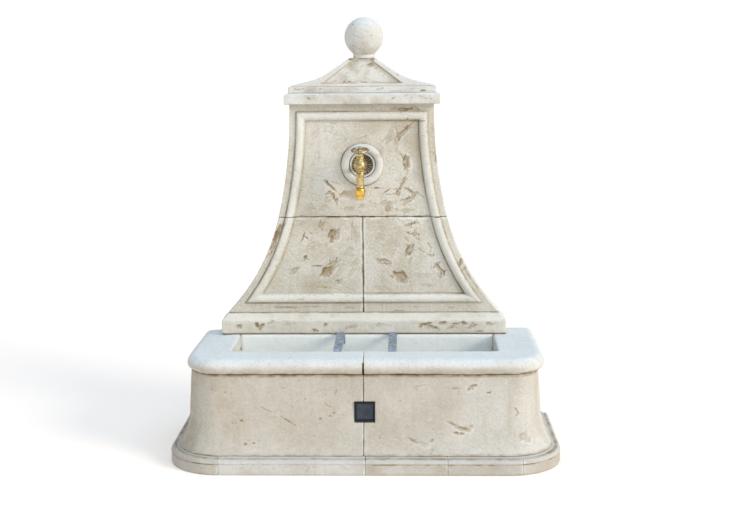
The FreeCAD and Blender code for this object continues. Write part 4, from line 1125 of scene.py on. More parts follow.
# %% Marks of the lower stones
LOWER_MARKS = [
    (-161, 808, 48, 26, 86, 1.6, 0.6), (-119, 765, 54, 40, 62, 3.4, 0.8), (-128, 745, 20, 34, 0, 2.4, 0.85),
    (-150, 780, 30, 10, -10, 1.6, 0.3), (-232, 762, 50, 9, 72, 3.2, 0.8), (-226, 757, 44, 8, -35, 2.8, 0.7),
    (-205, 772, 14, 8, 20, 2.4, 0.75), (-243, 742, 30, 7, 55, 2, 0.5), (-137, 632, 92, 32, 42, 3, 0.75),
    (-152, 618, 44, 26, 30, 2.4, 0.75), (-112, 662, 34, 12, 60, 2.4, 0.7), (-191, 647, 66, 5, 2, 3.4, 1),
    (-225, 681, 22, 11, 78, 2.6, 0.75), (-219, 672, 20, 6, -10, 2, 0.5), (-272, 627, 46, 22, 20, 2.2, 0.5),
    (-262, 640, 14, 10, 40, 2.6, 0.6), (-285, 618, 16, 9, 0, 2.4, 0.6), (-161, 565, 86, 5, -7, 2, 0.7),
    (-112, 560, 60, 5, -20, 1.6, 0.5), (-101, 586, 24, 20, 30, 2.4, 0.6), (-92, 594, 14, 8, 50, 2.2, 0.5),
    (-54, 620, 54, 24, 50, 1.2, 0.25), (-48, 655, 34, 20, 60, 1.4, 0.25), (-40, 780, 70, 40, 88, 0.9, 0.42),
    (-180, 700, 120, 70, 10, 0.9, 0.3), (-60, 700, 50, 34, 40, 1, 0.2), (-210, 600, 80, 26, 10, 0.8, 0.25),
    (173, 806, 44, 11, 30, 3, 0.8), (160, 796, 34, 9, -20, 2.4, 0.7), (173, 768, 48, 11, -12, 3.2, 0.85),
    (186, 782, 34, 7, 50, 2.6, 0.7), (192, 750, 36, 7, -28, 2.2, 0.6), (161, 704, 56, 22, 68, 3.8, 0.95),
    (178, 722, 30, 8, 70, 2.6, 0.75), (168, 672, 60, 5, 66, 2, 0.6), (205, 706, 40, 9, -40, 1.8, 0.45),
    (63, 664, 76, 18, -10, 2.6, 0.7), (44, 668, 30, 14, -40, 2.2, 0.55), (90, 712, 100, 60, 20, 0.9, 0.22),
    (128, 603, 66, 42, -32, 3, 0.72), (108, 615, 34, 22, -20, 2.6, 0.75), (150, 590, 30, 26, 70, 2.4, 0.7),
    (233, 730, 26, 9, -50, 2.4, 0.65), (243, 716, 16, 8, 0, 2, 0.5), (245, 686, 32, 10, -8, 2.4, 0.65),
    (255, 693, 16, 8, 50, 2, 0.5), (275, 634, 56, 17, -46, 3.4, 0.8), (262, 650, 30, 12, 50, 2.8, 0.75),
    (290, 622, 40, 10, 30, 2.6, 0.6), (283, 606, 26, 10, 70, 2.4, 0.6), (60, 760, 60, 30, 60, 1, 0.2),
    (215, 610, 90, 24, 4, 0.8, 0.25), (60, 560, 90, 20, -8, 0.9, 0.3), (230, 570, 60, 16, 0, 0.9, 0.3),
    (-332, 765, 110, 17, 67, 1.2, 1), (-344, 735, 60, 12, 66, 1, 0.85), (-368, 690, 30, 9, 60, 1, 0.5),
    (359, 664, 34, 15, 62, 2.4, 0.85), (372, 640, 28, 10, 55, 1.6, 0.6), (385, 610, 60, 5, -58, 1.2, 0.7),
    (410, 575, 50, 5, -52, 1.2, 0.6), (-298, 490, 150, 9, 0, 1.2, 0.55), (-200, 492, 90, 8, 2, 1.2, 0.5),
    (126, 477, 64, 5, 0, 1.6, 0.9), (-60, 488, 60, 7, 0, 1, 0.4), (200, 490, 90, 6, 0, 1, 0.45),
    (320, 488, 40, 6, 0, 1, 0.4), (-250, 524, 40, 5, -2, 1.4, 0.55), (-160, 520, 30, 4, 0, 1.2, 0.4),
    (-200, 833, 60, 5, 1, 3, 0.9), (-120, 834, 30, 6, -3, 3, 0.7), (-70, 833, 70, 5, 1, 3, 0.95),
    (-30, 834, 24, 7, 4, 3, 0.8), (60, 833, 40, 5, 0, 2.6, 0.6), (140, 834, 50, 4, -1, 2.4, 0.7),
    (210, 833, 44, 5, 2, 2.6, 0.8), (268, 834, 24, 6, 0, 3, 0.8), (-262, 833, 40, 5, 3, 3, 0.8),
    (-13, 800, 40, 6, 88, 3, 0.8), (-9, 735, 30, 5, 92, 2.4, 0.6), (-13, 640, 44, 7, 87, 3.4, 1),
    (-9, 600, 56, 7, 91, 3.4, 1), (-14, 560, 30, 6, 90, 2.6, 0.7), (-12, 690, 26, 6, 84, 2.6, 0.6),
]
print("marks by hand on the lower stones:", len(LOWER_MARKS))


# %% [markdown]
# ### Skidding strokes and strewn marks on the field
# The broad cuts get their thin strokes, and two sowings fill the field: short nicks, and hair-thin
# scratches from the brush.

# %% Strewn marks on the field
FIELD_AREA = (-330, 310, 550, 1190)
UPPER_MARKS = frayed(UPPER_MARKS, 84)
LOWER_MARKS = frayed(LOWER_MARKS, 85)
SCATTERED = scatter(700, FIELD_AREA, (8, 40), (2.5, 8), 2.6, 0.50, 81)
SCATTERED += scatter(900, FIELD_AREA, (12, 46), (1.6, 3.0), 1.6, 0.35, 83)
print("with their strokes:", len(UPPER_MARKS) + len(LOWER_MARKS), "and", len(SCATTERED), "strewn")


# %% [markdown]
# ### Trowel sweeps
# In places the field shows the arcs of a brush or trowel, a few millimetres apart. They are ripples
# around a centre that fade out with distance.

# %% Trowel sweeps
SWEEPS = [  # x and z of the patch, its radius, x and z of the centre that the arcs turn about, spacing, depth
    (32, 600, 46, -40, 520, 9.5, 1.0), (92, 715, 46, 150, 640, 12.0, 0.6), (-50, 640, 46, 40, 600, 11.0, 0.7),
    (20, 770, 50, 90, 690, 10.0, 0.7), (-150, 990, 60, -260, 900, 12.0, 0.4),
    (210, 1110, 50, 120, 1000, 12.0, 0.4), (-190, 760, 50, -300, 700, 10.0, 0.5),
    (255, 770, 44, 160, 700, 10.0, 0.6), (-100, 1110, 60, 0, 1031, 11.0, 0.4),
]


def trowelled(points):
    """Depth in metres of the trowel's ripples at each point."""
    depth = np.zeros(len(points))
    for x, z, radius, centre_x, centre_z, spacing, deep in SWEEPS:
        away = np.hypot(points[:, 0] - x * MM, points[:, 2] - z * MM) / (radius * MM)
        swing = np.hypot(points[:, 0] - centre_x * MM, points[:, 2] - centre_z * MM)
        ripple = np.sin(2 * math.pi * swing / (spacing * MM) + 3 * noise(points, 0.03, 77))
        depth += smooth(away, 1.0, 0.4) * 2 * deep * MM * (0.5 + 0.5 * ripple)
    return depth


print("sweeps:", len(SWEEPS))


# %% [markdown]
# ### Rings of a board stone
# At each height a ring starts at the wall, runs along the left side, over the front and back along the
# right side. A grid of quads would do for the front alone; rings make the whole stone one closed solid.

# %% Rings of a board stone
BOARD_STEP, ARRIS = 3.2, 3.5                   # spacing of the points, and the round of the edges, in mm
END_ROUND, SIDE_POINTS = 3.0, 14


def board_rings(left, right, low, high):
    """Rings of a backboard stone: at each height back, left side, front and right side."""
    heights = stations(low, high, BOARD_STEP)
    widest = max(right(z) - left(z) for z in (low, high))
    shares = np.linspace(0, 1, int(widest / BOARD_STEP))
    turns = np.linspace(0, math.pi / 2, 5)
    rings = []
    for z in heights:
        x0, x1 = left(z), right(z)
        columns = x0 + ARRIS + shares * (x1 - x0 - 2 * ARRIS)
        front = relief(columns, z)
        short = min(1.0, max(0.0, 1 - min(z - low, high - z) / END_ROUND))
        front = front + END_ROUND * (1 - math.sqrt(1 - short ** 2))
        first, last = front[0] + ARRIS, front[-1] + ARRIS
        points = [(x0, y) for y in np.linspace(WALL_Y, first, SIDE_POINTS)[:-1]]
        points += [(x0 + ARRIS * (1 - math.cos(a)), first - ARRIS * math.sin(a)) for a in turns[:-1]]
        points += list(zip(columns, front))
        points += [(x1 - ARRIS * (1 - math.cos(a)), last - ARRIS * math.sin(a)) for a in turns[::-1][1:]]
        points += [(x1, y) for y in np.linspace(last, WALL_Y, SIDE_POINTS)[1:]]
        points += [(x1 + (x0 - x1) * s, WALL_Y) for s in (0.25, 0.5, 0.75)]
        rings.append([(x, y, z) for x, y in points])
    return np.array(rings) * MM


def left_edge(z):
    return BOARD_X - half_width(z)


def right_edge(z):
    return BOARD_X + half_width(z)


print("the upper stone is", round(2 * half_width(BOARD_TOP)), "mm wide at its top")


# %% [markdown]
# ### Dirt, painted shade and rubbed edges of the board
# Ochre was brushed over the whole board and wiped off again, so it stays in the quirks beside the moulding,
# in the joints, under the cornice and below the tap, and is gone from the moulding's crown. The dark lines in
# the quirks are also painted shadow, heavier on the side that looks away from the light; the band under the
# cornice is also painted shade; and a thin painted shadow of the stone ring falls on the board at its lower
# left. Each of these is one line: a distance, how quickly it fades, and a noise that breaks it up.

# %% Dirt and rubbed edges of the board
def board_stain(points, inset, in_field, facing, sides):
    """Share of ochre and painted shade from the board's own shape, without its marks."""
    x, z = points[:, 0] / MM, points[:, 2] / MM
    on_left = smooth(x - BOARD_X, 40, -40)
    broken = 0.75 + 0.25 * noise(points, 0.05, 87)
    # Painted shadow with some ochre in the quirks: the outer quirk is darker on the left and the inner one on
    # the right, the sides away from the light.
    quirk_out_shadow_and_ochre = smooth(abs(inset - MOULD_INSET + 0.5), 3.6, 0.8) * (0.55 + 0.4 * on_left) * broken
    quirk_in_shadow_and_ochre = smooth(abs(inset - MOULD_INSET - MOULD_WIDE - 0.5), 3.8, 0.8) * (1.0 - 0.55 * on_left) * broken
    # Painted shade under the cornice, with some ochre.
    under_cornice_shade_and_ochre = smooth(z, BOARD_TOP - 28, BOARD_TOP - 6) * (0.20 + 0.20 * noise(points, 0.04, 88))
    joint = smooth(abs(z - BOARD_JOINT), 5, 1) * smooth(noise(points, 0.018, 89), -0.2, 0.3) * 0.9
    seam = smooth(abs(x - BOARD_X), 5, 1) * (z < BOARD_JOINT)
    seam = seam * smooth(noise(points, 0.02, 90), -0.2, 0.4) * 0.7
    from_rose = np.hypot(x - ROSE_X, z - ROSE_Z)
    # Painted shadow of the stone ring on the board, heaviest at its lower left.
    shaded = smooth(-(x - ROSE_X) - 0.8 * (z - ROSE_Z), -60, 60)
    ring_painted_shadow = smooth(abs(from_rose - 79), 4.5, 1.5) * (0.05 + 0.9 * shaded)
    below_tap = smooth(np.hypot((x - ROSE_X + 25) / 1.6, z - ROSE_Z + 112), 34, 10) * 0.42
    cloudy = in_field * smooth(rough(points, 0.12, 3, 91), 0.0, 0.9) * 0.32
    on_front = np.maximum.reduce([quirk_out_shadow_and_ochre, quirk_in_shadow_and_ochre, cloudy, ring_painted_shadow, below_tap]) * facing
    all_round = np.maximum.reduce([under_cornice_shade_and_ochre, joint, seam]) * sides
    return np.maximum(on_front, all_round)


def board_pale(points, inset):
    """Share of rubbed, pale stone on the moulding's crown and beside the joints."""
    x, z = points[:, 0] / MM, points[:, 2] / MM
    crown = smooth(inset, MOULD_INSET + 3, MOULD_INSET + 9)
    crown *= smooth(inset, MOULD_INSET + 30, MOULD_INSET + 25)
    by_joint = smooth(abs(z - BOARD_JOINT + 7), 7, 2) * smooth(noise(points, 0.02, 92), -0.3, 0.4) * 0.8
    by_seam = smooth(abs(abs(x - BOARD_X) - 7), 5, 1) * (z < BOARD_JOINT) * 0.6
    return np.maximum.reduce([crown * 0.55, by_joint, by_seam])


print("ochre lies in the quirks", MOULD_INSET, "and", MOULD_INSET + MOULD_WIDE, "mm in from the edge")


# %% [markdown]
# ### Wearing and placing the board stones
# The field is rougher than the border, because it was left as the trowel made it, and the marks go on
# top. Behind the worn arrises the stones meet exactly at the seam and the joint.

# %% Board stones
def board_stone(name, rings, marks, seed):
    """Roughens, carves, stains and paints shade on a backboard stone, and places it."""
    points, normals = rings.reshape(-1, 3), outward(rings)
    x, z = points[:, 0] / MM, points[:, 2] / MM
    facing = (points[:, 1] < (FIELD_Y + 3) * MM)
    inset = np.minimum(np.array([inset_from_side(a, b) for a, b in zip(x, z)]),
                       np.minimum(MOULD_TOP - z, z - MOULD_FOOT) + MOULD_INSET)
    in_field = smooth(inset, MOULD_INSET + MOULD_WIDE - 1, MOULD_INSET + MOULD_WIDE + 6)
    sides = points[:, 1] < (WALL_Y - 1) * MM
    wear = MM * (0.35 + 0.35 * rough(points, 0.09, 3, seed)) * sides
    wear += MM * (0.8 * in_field + 0.25) * np.clip(rough(points, 0.045, 4, seed + 4) + 0.2, 0, 1.2) * facing
    wear += 0.7 * MM * np.clip(rough(points, 0.012, 2, seed + 8) - 0.25, 0, 1) * facing
    wear += trowelled(points) * in_field * facing
    by_hand = carve(points, facing, marks, seed)
    strewn = carve(points, facing & (in_field > 0.5), SCATTERED, seed + 1)
    depth, stain, pale = (np.maximum(a, b) for a, b in zip(by_hand, strewn))
    stain = np.maximum(stain, board_stain(points, inset, in_field, facing, sides))
    pale = np.maximum(pale, board_pale(points, inset) * facing)
    moved = points - normals * (wear + depth)[:, None]
    behind = points[:, 1] > (FIELD_Y + 14) * MM
    at_seam = behind & (abs(x - BOARD_X) < 2 * JOINT_GAP) & (z < BOARD_JOINT)
    moved[at_seam, 0] = BOARD_X * MM
    at_joint = behind & (abs(z - BOARD_JOINT) < 2 * JOINT_GAP)
    moved[at_joint, 2] = BOARD_JOINT * MM
    mesh = make_mesh(name, moved, capped_faces(*rings.shape[:2]), stain=stain, pale=pale)
    set_outward(mesh)
    return place("stone_" + name, mesh, [name], "cast_stone")


upper = board_rings(left_edge, right_edge, BOARD_JOINT + JOINT_GAP, BOARD_TOP)
board_stone("upper_panel", upper, UPPER_MARKS, 101)
lower_left = board_rings(left_edge, lambda z: BOARD_X - JOINT_GAP, BOARD_FOOT, BOARD_JOINT - JOINT_GAP)
board_stone("lower_panel_left", lower_left, LOWER_MARKS, 111)
lower_right = board_rings(lambda z: BOARD_X + JOINT_GAP, right_edge, BOARD_FOOT, BOARD_JOINT - JOINT_GAP)
board_stone("lower_panel_right", lower_right, LOWER_MARKS, 121)
print("board rings:", upper.shape[:2], lower_left.shape[:2])


# %% [markdown]
# ## Plain blocks with worn edges
# The slab under the backboard, the cornices, the gable and its ball, and the floor and back of the trough
# are simple solids whose edges have gone soft. Here a voxel remesh is the right tool: it turns the plain
# solid into an even skin of small squares and rounds each arris a little, and the wear is then carved
# into that skin.

# %% Remeshing a block
def worn_block(name, nodes, slot, voxel_mm, marks=(), wave=0.9, pits=0.5, seed=1, dirt_and_shade=None, own=None,
               spread=0.0):
    """A worn copy of CAD nodes' solid, remeshed to an even skin."""
    work = bmesh.new()
    for node_name in nodes:
        work.from_mesh(frame["nodes"][node_name].data)
    bmesh.ops.remove_doubles(work, verts=work.verts, dist=1e-5)
    mesh = bpy.data.meshes.new(name)
    work.to_mesh(mesh)
    work.free()
    rough_piece = bpy.data.objects.new(name + "_skin", mesh)
    bpy.context.scene.collection.objects.link(rough_piece)
    remesh = rough_piece.modifiers.new("skin", "REMESH")
    remesh.mode = "VOXEL"
    remesh.voxel_size = voxel_mm * MM
    soften = rough_piece.modifiers.new("soften", "SMOOTH")
    soften.factor, soften.iterations = 0.5, 2
    skin = bpy.data.meshes.new_from_object(rough_piece.evaluated_get(bpy.context.evaluated_depsgraph_get()))
    bpy.data.objects.remove(rough_piece)
    points = np.zeros(len(skin.vertices) * 3)
    skin.vertices.foreach_get("co", points)
    points = points.reshape(-1, 3)
    normals = np.zeros(len(skin.vertices) * 3)
    skin.vertex_normals.foreach_get("vector", normals)
    normals = normals.reshape(-1, 3)
    wear = wave * MM * (0.5 + 0.5 * rough(points, 0.08, 3, seed))
    wear += pits * MM * np.clip(rough(points, 0.016, 3, seed + 6) - 0.15, 0, 1) * 1.6
    facing = normals[:, 1] < -0.45
    depth, stain, pale = carve(points, facing, marks, seed)
    if dirt_and_shade is not None:
        stain = np.maximum(stain, dirt_and_shade(points, normals))
    wear = np.where(normals[:, 2] < -0.8, -0.9 * MM, wear)      # stones bed into the one below
    moved = points - normals * (wear + depth)[:, None]
    moved[:, 0] *= 1 + spread
    moved[:, 2] = np.maximum(moved[:, 2], cad_low.z + 0.3 * MM)
    faces = [tuple(p.vertices) for p in skin.polygons]
    final = make_mesh(name, moved, faces, stain=stain, pale=pale)
    bpy.data.meshes.remove(skin)
    piece = place(name, final, nodes, slot)
    if own is not None:
        final.materials.append(own)
        for face in final.polygons:
            face.material_index = 1 if face.normal.y < 0.5 else 0
    return piece


print("block helper ready")


# %% [markdown]
# ### The slab under the backboard
# The slab's upright front band catches the sun, so it has a paler stone of its own, with a row of broad
# ochre cuts along it. Its own stone is given to the faces that don't look back.

# %% Slab
SLAB_MARKS = [
    (-478, 424, 30, 16, 20, 2.2, 0.85), (-412, 426, 38, 15, -50, 3, 0.9), (-392, 424, 36, 14, 48, 2.6, 0.9),
    (-360, 438, 36, 10, 20, 1.6, 0.5), (-198, 410, 22, 10, 20, 2.2, 0.8), (-185, 404, 14, 6, 0, 1.6, 0.8),
    (-152, 428, 26, 16, 30, 2.4, 0.7), (-60, 420, 90, 10, 4, 1, 0.35), (60, 428, 90, 12, -6, 1, 0.35),
    (225, 430, 60, 13, 10, 2.6, 0.85), (250, 418, 50, 12, -16, 2.4, 0.8), (290, 434, 44, 13, 8, 2.4, 0.8),
    (320, 420, 44, 10, 24, 2.2, 0.7), (370, 434, 66, 12, -10, 2.2, 0.75), (400, 422, 50, 12, 20, 2, 0.7),
    (425, 402, 30, 8, 0, 1.8, 0.6), (460, 430, 40, 14, -14, 2, 0.6), (-290, 432, 60, 8, 10, 1, 0.35),
]
SLAB_MARKS += scatter(60, (-540, 515, 398, 445), (6, 26), (3, 9), 1.6, 0.5, 131)


def slab_dirt_and_shadow(points, normals):
    """Warm runs on the front band and a painted shadow line along its foot."""
    drawn_out = rough(points * np.array([1, 1, 2.2]), 0.06, 3, 132)
    band = (normals[:, 1] < -0.6) * smooth(drawn_out, 0.0, 0.9) * 0.22
    # Painted shadow: a dark line along the slab's lower edge, above the trough.
    foot = smooth(points[:, 2], 0.4005, 0.3955)
    top = near_height(points, 472, 5, 133) * 0.5
    return np.maximum.reduce([band, foot, top])


SLAB_MARKS = frayed(SLAB_MARKS, 135, 9, 3)
worn_block("stone_backboard_base", ["backboard_base"], "cast_stone", 4.0, SLAB_MARKS, 0.9, 0.9, 134,
           slab_dirt_and_shadow, own=slab_stone)
print("marks on the slab:", len(SLAB_MARKS))


# %% [markdown]
# ### The two cornices
# Two thin slabs step in towards the gable. Both are paler on top, partly from rain and partly as painted sky
# light, tinged with ochre on their upright faces, and brown underneath as painted shade.

# %% Cornices
CORNICE_MARKS = [
    (-205, 1276, 22, 9, -25, 2.4, 0.75), (-216, 1282, 12, 6, 0, 1.8, 0.5), (105, 1273, 20, 8, 40, 2.2, 0.65),
    (88, 1283, 12, 4, 0, 1.4, 0.4), (150, 1283, 34, 5, 12, 1.6, 0.4), (172, 1275, 10, 8, 70, 2, 0.5),
    (215, 1277, 40, 5, -18, 2.2, 0.75), (240, 1272, 20, 5, -10, 1.6, 0.6), (-80, 1280, 20, 4, 10, 1, 0.3),
    (-240, 1308, 60, 9, 4, 1.4, 0.55), (-200, 1303, 40, 8, 6, 1.4, 0.5), (-160, 1309, 30, 6, 40, 1.4, 0.4),
    (60, 1308, 34, 9, 10, 1.4, 0.5), (118, 1300, 60, 5, 0, 1.8, 0.85), (215, 1301, 34, 5, 0, 1.8, 0.85),
    (-20, 1306, 40, 6, -6, 1, 0.35), (180, 1308, 40, 6, 10, 1, 0.35),
]


def cornice_tinge_and_shade(points, normals):
    """A warm tinge on the upright faces and painted shade in brown underneath."""
    upright = (normals[:, 1] < -0.6) * smooth(rough(points, 0.05, 3, 136), -0.5, 0.9) * 0.38
    # Painted shade: brown on the faces that look down.
    under = smooth(normals[:, 2], -0.5, -0.95) * 0.5
    return np.maximum(upright, under)


for word, seed in (("lower", 137), ("upper", 138)):
    worn_block("stone_cornice_" + word, ["cornice_" + word], "weathered_stone", 3.0, CORNICE_MARKS, 0.7, 0.6,
               seed, cornice_tinge_and_shade)
print("cornices are placed")


# %% [markdown]
# ### The gable
# The gable has a sunk panel with hollow sides. Painted shade lies along the panel's corners, heavier on the
# right, and round the collar under the ball, and dirt lies in patches in the panel. Where that shade goes is
# worked out from the panel's outline, a straight line on each side that leans in from its foot to its top.

# %% Gable
GABLE_X = (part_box("gable")[0].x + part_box("gable")[1].x) / 2 / MM
PANEL_FOOT, PANEL_TOP, PANEL_FOOT_HALF, PANEL_TOP_HALF = 1331, 1411, 142, 36
GABLE_MARKS = [
    (25, 1392, 46, 16, 5, 2.2, 0.6), (40, 1382, 30, 8, -10, 2, 0.5), (-12, 1388, 24, 8, 30, 1.8, 0.4),
    (-60, 1368, 60, 5, 32, 1.8, 0.35), (-30, 1352, 40, 5, -20, 1.4, 0.3), (10, 1345, 50, 5, 10, 1.4, 0.3),
    (-60, 1334, 60, 5, 0, 1.6, 0.8), (0, 1333, 50, 4, 0, 1.6, 0.9), (50, 1334, 60, 4, 0, 1.4, 0.7),
    (-110, 1336, 40, 6, 5, 1.2, 0.5), (70, 1356, 40, 6, 20, 1.2, 0.3), (122, 1358, 10, 8, 40, 2.4, 0.7),
]


def gable_shade_and_dirt(points, normals):
    """Painted shade in the corners of the sunk panel and round the collar, and patchy dirt in the panel."""
    x, z = abs(points[:, 0] / MM - GABLE_X), points[:, 2] / MM
    edge = PANEL_FOOT_HALF + (PANEL_TOP_HALF - PANEL_FOOT_HALF) * (z - PANEL_FOOT) / (PANEL_TOP - PANEL_FOOT)
    front = normals[:, 1] < -0.2
    # Painted shade: dark lines in the panel's corners, heavier on the right, and round the collar.
    line = smooth(abs(x - edge), 4.0, 1.0) * (z > PANEL_FOOT - 3) * (z < PANEL_TOP + 5)
    line = line * np.where(points[:, 0] > 0, 0.9, 0.55)
    foot = smooth(abs(z - PANEL_FOOT), 4.0, 1.0) * (x < PANEL_FOOT_HALF + 8)
    foot = foot * smooth(noise(points, 0.03, 140), -0.6, 0.2) * 0.6
    collar = smooth(z, 1409, 1415) * (x < 48) * (0.40 + 0.45 * smooth(x, 26, 40))
    sunk = (x < edge) & (z > PANEL_FOOT)
    patchy = sunk * smooth(rough(points, 0.04, 3, 139), -0.6, 0.9) * 0.5
    return front * np.maximum.reduce([line, foot, collar, patchy])


worn_block("stone_gable", ["gable"], "weathered_stone", 3.0, GABLE_MARKS, 0.8, 0.6, 141, gable_shade_and_dirt)
print("the gable's middle is at", round(GABLE_X, 1), "mm")


# %% [markdown]
# ### Ball, neck, trough floor and trough back
# The ball is darker below, a painted shade. The floor and back of the trough are made nearly white, a
# painted light for the shaded trough. They are spread by less than a hundredth, so that no slit opens in the
# trough's corners.

# %% Ball, neck, trough floor and back
BALL_MARKS = [
    (-40, 1540, 8, 6, 0, 2.2, 0.6), (-46, 1530, 6, 5, 0, 1.8, 0.5), (-15, 1541, 10, 5, 10, 1.6, 0.35),
    (-30, 1500, 30, 5, -30, 1.4, 0.35), (-12, 1490, 34, 5, -20, 1.4, 0.3), (-38, 1462, 12, 8, 20, 1.8, 0.55),
    (-15, 1450, 10, 8, 60, 1.8, 0.55), (10, 1470, 20, 5, -40, 1.2, 0.25), (30, 1500, 12, 5, 60, 1.2, 0.25),
]


# Painted shade: the ball darker on the faces that look down.
def ball_underside_shade(points, normals):
    return smooth(normals[:, 2], 0.0, -0.9) * (0.38 + 0.3 * rough(points, 0.03, 3, 142))


worn_block("stone_finial_ball", ["finial_ball"], "weathered_stone", 2.4, BALL_MARKS, 0.8, 0.7, 143, ball_underside_shade)
worn_block("stone_finial_neck", ["finial_neck"], "weathered_stone", 2.0, (), 0.3, 0.2, 144)
# The trough's floor and back get the near-white stone, a painted light.
for word, voxel, wave, seed in (("floor", 9.0, 1.2, 145), ("back_wall", 7.0, 1.0, 146)):
    worn_block("stone_basin_" + word, ["basin_" + word], "cast_stone", voxel, (), wave, 0.3, seed,
               own=trough_brightened_stone, spread=0.008)
print("blocks are placed")


# %% [markdown]
# ## Turned pieces
# The two stone rings around the tap and nearly all of the tap itself are round about an axis. Each is
# turned: a half outline of radii and heights is spun into rings. A second function can bend each ring,
# which gives the rosette its flutes, the nuts their six flats and the wheel its lobes.

# %% Lathe
def spin(outline, about, segments=72, shape=None, closed=False, step=1.6):
    """Rings of an outline (radius, height) in mm turned about a matrix's Z axis, and its faces."""
    dense = []
    pairs = list(zip(outline, outline[1:] + ([outline[0]] if closed else [])))
    for (r0, h0), (r1, h1) in pairs:
        count = max(1, int(math.dist((r0, h0), (r1, h1)) / step))
        dense += [(r0 + (r1 - r0) * i / count, h0 + (h1 - h0) * i / count) for i in range(count)]
    if not closed:
        dense.append(outline[-1])
    angles = np.linspace(0, 2 * math.pi, segments, endpoint=False)
    rings = []
    for radius, high in dense:
        radii, heights = np.full(segments, float(radius)), np.full(segments, float(high))
        if shape is not None:
            radii, heights = shape(angles, radii, heights)
        rings.append(np.stack([radii * np.cos(angles), radii * np.sin(angles), heights], axis=1))
    points = np.array(rings).reshape(-1, 3) * MM
    matrix = np.array(about)
    points = points @ matrix[:3, :3].T + matrix[:3, 3]
    if closed:
        return points, ring_faces(len(dense), segments, closed_path=True)
    return points, capped_faces(len(dense), segments)


def hexagonal(angles, radii, heights):
    """Flattens a ring to a hexagon of the same corner radius."""
    apothem = math.cos(math.pi / 6)
    flat = apothem / np.cos((angles + math.pi / 6) % (math.pi / 3) - math.pi / 6)
    return radii * flat, heights


def fillet_run(points, radius, steps=4):
    """Rounds the inner corners of an outline."""
    result = [points[0]]
    for before, corner, after in zip(points, points[1:], points[2:]):
        a, b, c = (np.array(p, float) for p in (before, corner, after))
        back = (a - b) / max(np.linalg.norm(a - b), 1e-9)
        ahead = (c - b) / max(np.linalg.norm(c - b), 1e-9)
        reach = min(radius, np.linalg.norm(a - b) / 2.2, np.linalg.norm(c - b) / 2.2)
        first, last = b + back * reach, b + ahead * reach
        for i in range(steps + 1):
            t = i / steps
            result.append(tuple((1 - t) ** 2 * first + 2 * t * (1 - t) * b + t ** 2 * last))
    return result + [points[-1]]


print("a spun square has", len(spin([(1, 0), (1, 1)], Matrix.Identity(4), 4)[1]), "faces")


# %% [markdown]
# ### A turned piece
# Several spun parts can make one piece, as the wheel's rim, hub and spokes do. Stone rings are worn a
# little, and a metal piece can say where its dark hollows lie.

# %% A turned piece
def turned_piece(name, parts, nodes, slot, body="fountain", stone_wear=None, tarnish=None):
    """One piece from several spun or lofted parts; tarnish gives each point its share of dark hollow."""
    points, faces = [], []
    for part_points, part_faces in parts:
        start = len(points)
        points += part_points.tolist()
        faces += [tuple(i + start for i in face) for face in part_faces]
    points = np.array(points)
    if stone_wear:
        centre = points.mean(axis=0)
        away = points - centre
        away /= np.linalg.norm(away, axis=1, keepdims=True)
        points = points - away * (stone_wear * MM * (0.5 + 0.5 * rough(points, 0.03, 3, 7)))[:, None]
    stain = np.zeros(len(points))
    if stone_wear:
        # Painted shadow: a dark line round the stone rings where they sit on the board.
        contact_shadow = smooth(points[:, 1], (FIELD_Y - 7) * MM, (FIELD_Y - 2) * MM) * 0.9
        stain = np.maximum(smooth(rough(points, 0.03, 3, 8), 0.1, 0.9) * 0.4, contact_shadow)
    if tarnish is not None:
        stain = tarnish(points)
    mesh = make_mesh(name, points, faces, stain=stain, pale=np.zeros(len(points)))
    set_outward(mesh)
    return place(name, mesh, nodes, slot, body)


ring_low, ring_high = (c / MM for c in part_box("escutcheon_ring"))
ROSE = Vector(((ring_low.x + ring_high.x) / 2, ring_high.y, (ring_low.z + ring_high.z) / 2)) * MM
RING_THICK = ring_high.y - ring_low.y
OUTWARD = Matrix.Translation(ROSE) @ Matrix.Rotation(math.pi / 2, 4, "X")
print("the tap's rose is at", tuple(round(c, 3) for c in ROSE))


# %% [markdown]
# ### Stone rings and bronze rosette
# The outer ring is a broad, softly rounded band of stone and the inner one a thin raised bead. Between
# them lies the fluted bronze rosette that the tap comes through.

# %% Rings and rosette
ring_outline = fillet_run([(50, 0), (50, RING_THICK - 7), (57, RING_THICK - 1), (66, RING_THICK),
                           (74, RING_THICK - 5), (78, RING_THICK - 14), (78, 0)], 5)
turned_piece("stone_ring", [spin(ring_outline + [(50, 0)], OUTWARD, 128)],
             ["escutcheon_ring"], "weathered_stone", stone_wear=1.0)
boss_outline = fillet_run([(39.5, 0), (39.5, 13), (42, 16.6), (45.5, 16.6), (48, 12), (48, 0)], 2.5)
turned_piece("stone_bead", [spin(boss_outline + [(39.5, 0)], OUTWARD, 112)], ["escutcheon_boss"],
             "weathered_stone", stone_wear=0.7)


FLUTES = 22


def fluted(angles, radii, heights):
    """Radial flutes between the rosette's hub and its rim."""
    share = smooth(radii, 15, 19) * smooth(radii, 37.5, 34)
    return radii, heights - 4.2 * share * (0.5 - 0.5 * np.cos(FLUTES * angles)) ** 1.5


def rosette_tarnish(points):
    """Dark in the flutes, bare on the ribs between them."""
    across, up = points[:, 0] - ROSE.x, points[:, 2] - ROSE.z
    angle, far = np.arctan2(up, across), np.hypot(across, up) / MM
    return 0.8 * (0.5 - 0.5 * np.cos(FLUTES * angle)) * smooth(far, 14, 19) * smooth(far, 38.5, 36)


rosette_outline = fillet_run([(0, 0), (38.8, 0), (38.8, 5.0), (36.5, 7.2), (34, 5.6), (20, 6.6), (17, 7.9),
                              (0, 7.9)], 1.2)
turned_piece("bronze_rosette", [spin(rosette_outline, OUTWARD, 176, fluted, step=1.4)], ["tap_rosette"],
             "aged_bronze", tarnish=rosette_tarnish)
print("rings and rosette are placed")


